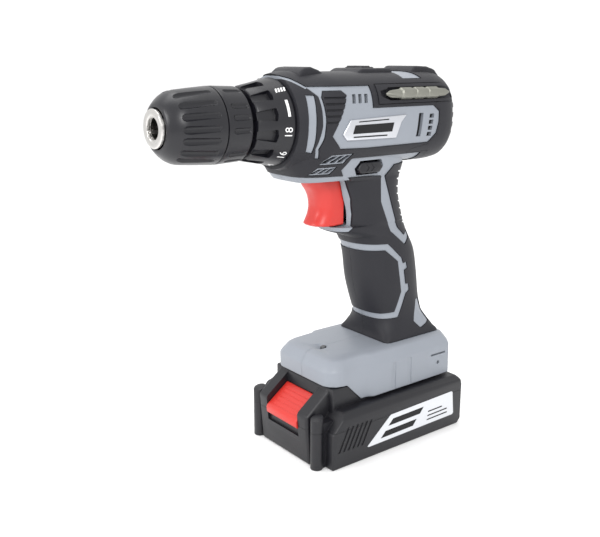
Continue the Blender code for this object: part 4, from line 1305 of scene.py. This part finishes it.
@dataclass
class Controls:
    """Trigger, direction selector and speed slider."""

    # Trigger: z, front x, half width.
    trigger_rows: tuple = (
        (156.6, -2.4, 8.9), (156.1, -3.2, 9.3), (153.4, -2.2, 9.4), (149.6, 0.6, 9.4), (145.0, 2.4, 9.4),
        (141.2, 2.8, 9.4), (137.6, 2.2, 9.4), (134.0, 0.6, 9.4), (131.6, -0.6, 9.4), (130.9, 0.2, 8.8),
    )
    knob_reach: float = 22.7

    def trigger(self) -> None:
        """The trigger with its finger hollow and stem."""
        rings = []
        for z, front, half in eased(self.trigger_rows, 1.0):
            side = []
            for step in range(11):
                turn = math.radians(9.0 * step)
                side.append((front + 8.4 * (1 - math.sin(turn)), half - (half - 1.6) * (1 - math.cos(turn))))
            section = [(17.0, half), *side, *((x, -y) for x, y in reversed(side)), (17.0, -half)]
            rings.append([(x, y, z) for x, y in section])
        trigger = Bench.sweep("trigger_blade", rings)
        Bench.carve(trigger, Bench.rod("stem", (12.0, 0.0, 148.0), (32.0, 0.0, 148.0), 3.0, 32), cut=Cut.JOIN)
        Bench.dress(trigger, Finish.RED, "trigger", "control_red", ["trigger"], 40.0)

    def selector(self) -> None:
        """The push-through bar with a raised double arrow on each end."""
        outline = [(15.6, 163.3), (18.0, 166.3), (31.4, 166.3), (33.8, 163.3), (31.4, 160.4), (18.0, 160.4)]
        reach = self.knob_reach
        bar = Bench.round_edges(Bench.prism("selector_bar", outline, -reach, reach), 0.7, 3)
        arrows = []
        for side in (-1.0, 1.0):
            for x in (22.4, 26.0):
                arrow = [
                    (x, 161.3), (x + 2.0, 163.3), (x, 165.3), (x - 0.9, 165.3), (x + 1.1, 163.3), (x - 0.9, 161.3),
                ]
                arrows.append(Bench.prism("arrow", arrow, *side_span(side, reach - 0.4, reach + 0.3)))
        Bench.carve(bar, Bench.together(arrows), cut=Cut.JOIN)
        Bench.dress(bar, Finish.SLEEVE, "direction_selector", "overmould_black", ["direction_selector"])

    def slider(self) -> None:
        """The speed slider with cross ridges."""
        low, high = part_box("speed_selector")
        x0, x1, top = low[0] / MM, high[0] / MM, high[2] / MM
        knob = Bench.round_edges(Bench.box("speed_knob", (x0, -7.2, 208.6), (x1, 7.2, top - 0.6)), 0.8, 3)
        ridges = []
        for i in range(3):
            x = x0 + 1.0 + 2.3 * i
            ridges.append(Bench.round_edges(Bench.box("ridge", (x, -6.4, top - 1.2), (x + 1.0, 6.4, top)), 0.3, 2))
        Bench.carve(knob, Bench.together(ridges), cut=Cut.JOIN)
        Bench.dress(knob, Finish.SLEEVE, "speed_selector", "overmould_black", ["speed_selector"])

    def build(self) -> None:
        """Make the three controls."""
        self.trigger()
        self.selector()
        self.slider()


# ---------------------------------------------------------------- chuck and collar

@dataclass
class Chuck:
    """The keyless chuck's two sleeves and its steel ring."""

    axis_z: float
    groove_turns: tuple = (62.0, 39.0, 19.5, 0.0, -18.0, -39.0, -57.0, -98.0, -118.0, -138.0, -158.0, 178.0, 138.0,
                           118.0, 98.0)
    rear_turns: tuple = (32.0, 14.0, -5.0, -45.0, -63.0, 62.0, 98.0, 117.0, 136.0, 175.0, -166.0, -147.0, -108.0)

    def grooves(self, turns: Iterable[float], start: Point2, end: Point2, radius: float) -> bpy.types.Object:
        """Long round-ended cutters along a sleeve.

        Args:
            turns: Where they lie round the axis, in degrees from -Y towards +Z.
            start: The x and the distance from the axis of their front ends.
            end: The same at their rear ends.
            radius: Their radius.

        Returns:
            The cutters as one object.
        """
        made = []
        for turn in turns:
            groove = Bench.capsule(
                "groove", (start[0], -start[1], self.axis_z), (end[0], -end[1], self.axis_z), radius
            )
            made.append(Bench.about_axis(groove, turn, self.axis_z))
        return Bench.together(made)

    def front(self) -> None:
        """The long sleeve with its rounded nose."""
        profile = [
            (-91.0, 9.95), (-91.0, 10.7), (-90.7, 11.6), (-89.6, 12.9), (-88.0, 14.5), (-86.2, 15.9), (-84.2, 17.0),
            (-82.0, 17.6), (-74.0, 18.3), (-63.3, 19.05), (-62.8, 18.9), (-62.65, 18.5), (-62.65, 15.95),
            (-82.0, 15.6), (-85.5, 14.2), (-88.3, 11.6), (-88.5, 9.95),
        ]
        sleeve = Bench.turn("front_sleeve", profile, 120, self.axis_z)
        Bench.carve(sleeve, self.grooves(self.groove_turns, (-84.2, 18.05), (-67.8, 19.9), 2.15))
        Bench.dress(sleeve, Finish.SLEEVE, "sleeve", "collar_black", ["chuck_front_sleeve"])

    def rear(self) -> None:
        """The short ring behind the sleeve."""
        profile = [
            (-62.25, 16.25), (-62.25, 18.5), (-62.05, 18.9), (-61.6, 19.05), (-60.0, 19.05), (-48.8, 18.6),
            (-48.3, 18.2), (-48.2, 17.6), (-47.7, 12.0), (-47.7, 5.1), (-48.6, 5.1), (-48.6, 16.25),
        ]
        ring = Bench.turn("rear_sleeve", profile, 120, self.axis_z)
        Bench.carve(ring, self.grooves(self.rear_turns, (-57.8, 19.8), (-50.6, 19.6), 1.85))
        Bench.dress(ring, Finish.SLEEVE, "chuck", "collar_black", ["chuck_rear_sleeve"])

    def steel_ring(self) -> None:
        """A bright rounded lip on the nose, with fine turned steps in its bore."""
        profile = [
            (-92.3, 9.38), (-92.6, 9.3), (-92.85, 9.0), (-92.95, 8.6), (-92.95, 6.6), (-92.8, 6.1), (-92.4, 5.75),
            (-92.0, 5.6), (-91.95, 5.2), (-91.6, 5.2), (-91.55, 5.5), (-91.2, 5.5), (-91.15, 5.2), (-90.8, 5.2),
            (-90.75, 5.5), (-90.4, 5.5), (-90.4, 5.65), (-92.0, 5.9),
        ]
        lip = Bench.turn("chuck_lip", profile, 96, self.axis_z)
        Bench.dress(lip, Finish.STEEL, "chuck", "steel", (), 25.0)

    def build(self) -> None:
        """Make the chuck's own pieces."""
        self.front()
        self.rear()
        self.steel_ring()


@dataclass
class Collar:
    """The torque collar: a castellated cone with a printed scale."""

    axis_z: float
    pockets: int = 12
    first_turn: float = 15.0
    number_x: Point2 = (-31.4, -26.9)
    scale_step: float = 17.5
    top_number: int = 18
    top_turn: float = -10.0

    def radius(self, x: float) -> float:
        """The cone's radius at a place along it.

        Args:
            x: The place.

        Returns:
            The radius there.
        """
        stations = ((-45.4, 18.5), (-37.8, 20.0), (-26.4, 22.3))
        for (x0, r0), (x1, r1) in zip(stations, stations[1:]):
            if x <= x1:
                return r0 + (r1 - r0) * (x - x0) / (x1 - x0)
        return stations[-1][1]

    def cone(self) -> None:
        """The cone with tapered pockets round its front."""
        profile = [
            (-45.4, 9.55), (-45.4, 17.7), (-45.1, 18.2), (-44.4, 18.7), (-37.8, 20.0), (-26.9, 22.2), (-26.3, 22.35),
            (-25.6, 22.2), (-25.4, 21.7), (-25.4, 16.35), (-43.0, 16.35), (-43.0, 9.55),
        ]
        cone = Bench.turn("collar_cone", profile, 144, self.axis_z)
        cutters = []
        side = [(-48.0, 1.9), (-44.0, 2.1), (-35.0, 3.3)]
        outline = [*((x, -y) for x, y in side), (-34.4, 0.0), *reversed(side)]
        for i in range(self.pockets):
            pocket = Bench.prism("pocket", outline, self.axis_z + 17.5, self.axis_z + 30.0, Axis.Z)
            Bench.round_edges(pocket, 0.35, 2)
            cutters.append(Bench.about_axis(pocket, 360.0 / self.pockets * i + self.first_turn - 90.0, self.axis_z))
        Bench.carve(cone, Bench.together(cutters))
        Bench.dress(cone, Finish.SLEEVE, "collar", "collar_black", ["torque_collar"])

    def wrapped(self, obj: bpy.types.Object, turn: float) -> bpy.types.Object:
        """Lay a flat marking on the cone.

        Args:
            obj: The marking, with x along the tool and y round it, in millimetres from the turn.
            turn: Where its middle lies round the axis, in degrees.

        Returns:
            The same marking.
        """
        for vert in obj.data.vertices:
            x, around, lift = (part / MM for part in vert.co)
            radius = self.radius(x) + 0.05 + lift
            angle = math.radians(turn) + around / radius
            vert.co = Vector((x, -radius * math.cos(angle), self.axis_z + radius * math.sin(angle))) * MM
        return obj

    def text(self, words: str, height: float) -> bpy.types.Object:
        """Flat numbers as a mesh.

        Args:
            words: The numbers.
            height: Their height in millimetres.

        Returns:
            The mesh.
        """
        Bench.clear()
        bpy.ops.object.text_add()
        obj = bpy.context.object
        obj.data.body = words
        obj.data.size = height * MM / CAPITAL_SHARE
        obj.data.align_x = "CENTER"
        obj.data.align_y = "CENTER"
        obj.data.extrude = 0.06 * MM
        bpy.ops.object.convert(target="MESH")
        return bpy.context.object

    def scale(self) -> None:
        """The even numbers with their dots, the drill mark and the pointer bar."""
        marks = []
        middle = (self.number_x[0] + self.number_x[1]) / 2
        for number in range(self.top_number, 2, -2):
            turn = self.top_turn - self.scale_step * (self.top_number - number)
            digits = self.text(str(number), 4.1)
            digits.data.transform(Matrix.Rotation(math.radians(90.0), 4, "Z"))
            digits.data.transform(Matrix.Translation((middle * MM, 0.0, 0.0)))
            marks.append(self.wrapped(digits, turn))
        for i in range(4):
            x = -32.2 + 1.5 * i
            flute = [(x, -1.3), (x + 0.9, -1.3), (x + 1.5, 1.3), (x + 0.6, 1.3)]
            marks.append(self.wrapped(Bench.prism("drill_mark", flute, 0.0, 0.12, Axis.Z), 50.0))
        strips = []
        for step in range(10):
            low = -4.3 + 0.86 * step
            strips.append(Bench.box("bar", (-29.6, low, 0.0), (-28.2, low + 0.87, 0.12)))
        marks.append(self.wrapped(Bench.together(strips), 22.0))
        scale = Bench.named(Bench.together(marks), "collar_scale")
        Bench.dress(scale, Finish.MARKING, "collar", "collar_black")

    def build(self) -> None:
        """Make the collar and its scale."""
        self.cone()
        self.scale()


# ---------------------------------------------------------------- battery

@dataclass
class Battery:
    """The slide-on battery pack and its release button."""

    half: float = 36.0
    parting: float = 22.0
    pillar: Point3 = (-15.4, 27.3, 3.6)
    pillar_top: float = 30.5

    def outer(self) -> bpy.types.Object:
        """The pack's solid outer form with its pillars.

        Returns:
            The pack as one solid.
        """
        side = [
            (-11.0, 0.0), (-11.0, 21.0), (-1.0, 31.6), (89.5, 31.6), (91.6, 29.4), (92.5, 26.0), (92.5, 3.0),
            (90.0, 0.0),
        ]
        box = Bench.prism("pack", side, -self.half, self.half)
        near, far = self.half - 3.4, self.half + 0.3
        for sense in (-1.0, 1.0):
            chamfer = [(near, 40.0), (near, 31.8), (far, 28.2), (50.0, 28.2), (50.0, 40.0)]
            Bench.carve(box, Bench.prism("chamfer", [(sense * y, z) for y, z in chamfer], -60.0, 130.0, Axis.X))
        Bench.round_edges(box, 1.3, 3, 20)
        slope = [(-17.0, 0.0), (-19.4, 29.5), (-4.0, 41.2), (-3.4, 43.0), (2.0, 43.0), (2.0, 0.0)]
        nose = Bench.round_edges(Bench.prism("nose", slope, -22.8, 22.8), 3.2, 4, 40)
        tenon = Bench.round_edges(Bench.box("tenon", (-3.4, -26.5, 20.0), (72.0, 26.5, 43.0)), 1.0, 2)
        Bench.carve(box, nose, tenon, cut=Cut.JOIN)
        x, y, radius = self.pillar
        for sense in (-1.0, 1.0):
            low, high = side_span(sense, y - radius + 1.0, y + radius - 1.0)
            column = Bench.rod("pillar", (x, sense * y, 0.0), (x, sense * y, self.pillar_top), radius, 40)
            for vert in column.data.vertices:
                if vert.co.z > self.pillar_top * MM / 2:
                    vert.co.z += (vert.co.x / MM - x) * 0.28 * MM
            Bench.round_edges(column, 0.5, 2, 60)
            Bench.carve(box, Bench.box("web", (x, low, 0.6), (-4.0, high, 27.0)), column, cut=Cut.JOIN)
        return box

    def rooms(self) -> bpy.types.Object:
        """The spaces inside the pack.

        Returns:
            The spaces as one solid.
        """
        boxes = (
            ((-7.2, -33.5, 2.5), (90.0, 33.5, 22.1)), ((-1.0, -33.5, 22.0), (87.0, 33.5, 29.1)),
            ((-1.0, -24.0, 24.0), (69.5, 24.0, 40.5)), ((-14.3, -20.5, 2.5), (-7.0, 20.5, 16.0)),
        )
        room, *others = (Bench.box("room", low, high) for low, high in boxes)
        return Bench.carve(room, *others, cut=Cut.JOIN)

    def side_detail(self) -> bpy.types.Object:
        """The gaps between the slanted grip ribs, for both sides.

        Returns:
            The cutters as one object.
        """
        cutters = []
        for sense in (-1.0, 1.0):
            for i in range(6):
                x = -7.4 + 3.4 * i
                slant = [(x, 9.6), (x + 1.5, 9.6), (x + 8.3, 23.4), (x + 6.8, 23.4)]
                cutters.append(Bench.prism("rib_gap", slant, *side_span(sense, self.half - 0.55, self.half + 5.0)))
        return Bench.together(cutters)

    def button_pocket(self) -> bpy.types.Object:
        """The room for the release button."""
        outline = [
            (-16.9, 15.2), (-16.9, 19.0), (-13.8, 19.5), (-3.7, 26.7), (-3.7, 60.0), (-30.0, 60.0), (-30.0, 15.2),
        ]
        return Bench.prism("button_room", outline, -14.5, 14.5)

    def case(self) -> None:
        """The case and its cover, as two close halves."""
        lines = ((-16.5, 5.4, -17.9, 6.2), (-15.0, 9.0, -18.0, 9.7), (-15.0, 12.0, -18.0, 12.7))
        pack = Bench.carve(
            self.outer(), self.rooms(), self.button_pocket(), self.side_detail(),
            *(Bench.box("nose_line", (-30.0, y, low), (x, -y, high)) for y, low, x, high in lines),
        )
        below = Bench.box("below", (-60.0, -60.0, -10.0), (130.0, 60.0, self.parting + 0.08))
        cover = Bench.carve(Bench.copy(pack, "pack_cover"), below)
        case = Bench.carve(pack, Bench.box("above", (-60.0, -60.0, self.parting - 0.08), (130.0, 60.0, 80.0)))
        Bench.dress(Bench.named(case, "pack_case"), Finish.PACK, "battery", "battery_black", ["battery_case"])
        Bench.dress(cover, Finish.PACK, "battery", "battery_black", ["battery_cover"])

    def labels(self) -> None:
        """Pale labels with plain printed bars on both sides."""
        face = self.half
        outline = [
            (14.4, 7.4), (15.6, 6.9), (84.6, 7.6), (85.4, 8.6), (84.0, 22.4), (83.0, 23.1), (32.4, 22.0), (31.2, 21.3),
        ]
        label = Bench.prism("left_pack_label", outline, -face - 0.12, -face + 0.3)
        bars = (
            [(24.6, 9.4), (50.4, 9.8), (53.4, 13.4), (28.2, 13.0)],
            [(30.4, 15.6), (56.0, 16.0), (59.0, 19.6), (34.0, 19.2)],
            [(62.0, 9.9), (79.6, 10.2), (79.6, 11.0), (62.2, 10.7)],
            [(62.4, 12.4), (79.4, 12.7), (79.4, 13.5), (62.6, 13.2)],
            [(62.8, 15.0), (75.0, 15.2), (75.0, 16.0), (63.0, 15.8)],
        )
        printed = Bench.together([Bench.prism("bar", bar, -face - 0.17, -face + 0.2) for bar in bars])
        Bench.dress_pair(label, Finish.LABEL, "battery", "label_silver")
        Bench.dress_pair(Bench.named(printed, "left_pack_print"), Finish.PRINT, "battery", "label_silver")

    def button(self) -> None:
        """The release button with its finger ribs and hook."""
        outline = [
            (-18.9, 19.9), (-19.6, 20.6), (-19.9, 23.6), (-19.3, 25.0), (-5.2, 35.3), (-4.2, 35.5), (-4.0, 35.0),
            (-4.0, 30.5), (-14.0, 23.4), (-17.2, 22.8), (-17.2, 19.6), (-17.6, 19.3),
        ]
        button = Bench.prism("release_blade", outline, -14.2, 14.2)
        Bench.round_edges(button, 0.9, 3, 50)
        ribs = []
        for i in range(5):
            share = 0.14 + 0.17 * i
            x, z = -19.3 + share * 14.1, 25.0 + share * 10.3
            ribs.append(Bench.rod("rib_gap", (x - 0.35, -11.0, z + 0.45), (x - 0.35, 11.0, z + 0.45), 0.8, 16))
        Bench.carve(button, Bench.together(ribs))
        Bench.dress(button, Finish.RED, "release", "control_red", ["release_button"], 35.0)

    def build(self) -> None:
        """Make the pack, its labels and its button."""
        self.case()
        self.labels()
        self.button()


# ---------------------------------------------------------------- carried-over solids

SLOT_FINISHES = {
    "housing_grey": Finish.GREY, "overmould_black": Finish.SOFT, "collar_black": Finish.SLEEVE,
    "battery_black": Finish.PACK, "control_red": Finish.RED, "label_silver": Finish.PLATE, "steel": Finish.STEEL,
    "gear_steel": Finish.GEAR, "spring_steel": Finish.STEEL, "bit_steel": Finish.BIT, "nylon": Finish.NYLON,
    "motor_zinc": Finish.ZINC, "light_lens": Finish.LENS, "cell_wrap": Finish.CELL, "board_green": Finish.BOARD,
}


def dress_frame(frame: dict) -> None:
    """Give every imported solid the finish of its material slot.
    """
    slots = {part["node"]: part["material_slot"] for part in frame["record"]["subparts"]}
    for name, obj in frame["nodes"].items():
        material = SLOT_FINISHES[slots[name]].material()
        obj.material_slots[0].link = "OBJECT"
        obj.material_slots[0].material = material


# ---------------------------------------------------------------- studio

@dataclass
class Studio:
    """The camera, the pale floor and the soft lights."""

    camera_at: Point3 = (-0.2708, -0.3437, 0.2216)
    target: Point3 = (-0.00602, 0.0, 0.10747)
    lens: float = 48.6
    floor_half: float = 14.0
    middle: Point3 = (0.0, 0.0, 0.12)

    @staticmethod
    def turned(place: Point3, target: Point3) -> Euler:
        """The rotation that makes a camera or a light at a place look at a target."""
        return (Vector(target) - Vector(place)).to_track_quat("-Z", "Y").to_euler()

    def camera(self) -> None:
        """Place the camera and make it the scene's own."""
        Bench.clear()
        bpy.ops.object.camera_add(location=self.camera_at)
        camera = bpy.context.object
        camera.rotation_euler = self.turned(self.camera_at, self.target)
        camera.data.lens = self.lens
        camera.data.sensor_width = 36.0
        camera.data.clip_start = 0.01
        bpy.context.scene.camera = camera

    def floor(self) -> None:
        """A wide pale floor."""
        Bench.clear()
        bpy.ops.mesh.primitive_plane_add(size=2 * self.floor_half)
        floor = Bench.named(bpy.context.object, "studio_floor")
        paint = Paint("studio_paper")
        fibre = paint.noise(6.0)
        paint.surface({
            "Base Color": paint.blend(fibre, (0.93, 0.93, 0.93, 1.0), (0.96, 0.96, 0.96, 1.0)), "Roughness": 0.55,
            "Specular IOR Level": 0.3,
        })
        floor.data.materials.append(paint.material)

    def light(self, name: str, place: Point3, size: float, power: float) -> None:
        """Add a soft square light that points at the tool's middle.

        Args:
            name: Its name.
            place: Where it stands, in metres.
            size: The length of its sides, in metres.
            power: Its power in watts.
        """
        Bench.clear()
        bpy.ops.object.light_add(type="AREA", location=place)
        light = bpy.context.object
        light.name = name
        light.rotation_euler = self.turned(place, self.middle)
        light.data.size = size
        light.data.energy = power

    def world(self) -> None:
        """An even white room light."""
        world = bpy.data.worlds.new("studio_room")
        bpy.context.scene.world = world
        world.use_nodes = True
        background = world.node_tree.nodes["Background"]
        background.inputs["Color"].default_value = (1.0, 1.0, 1.0, 1.0)
        background.inputs["Strength"].default_value = 1.12
        bpy.context.scene.view_settings.view_transform = "Standard"

    def lights(self) -> None:
        """A key from the front left, a wide top light and a light on the nose."""
        self.light("key_light", (-0.5, -0.85, 0.75), 0.35, 6.5)
        self.light("top_light", (-0.1, 0.25, 0.95), 0.6, 3.0)
        self.light("nose_light", (-0.9, 0.15, 0.5), 0.3, 3.0)


# ---------------------------------------------------------------- assembly


def main() -> None:
    """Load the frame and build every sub-assembly in order."""
    logging.basicConfig(level=logging.INFO, format="%(name)s: %(message)s")
    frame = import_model()
    Bench.clear()
    studio = Studio()
    studio.camera()
    dress_frame(frame)
    axis_z = (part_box("spindle")[0][2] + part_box("spindle")[1][2]) / 2 / MM
    form = BodyForm(axis_z)
    for assembly in (Housing(form), BitDock(form), Controls(), Chuck(axis_z), Collar(axis_z), Battery()):
        LOG.info("building the %s", type(assembly).__name__)
        assembly.build()
    studio.floor()
    studio.world()
    studio.lights()


if __name__ == "__main__":
    main()
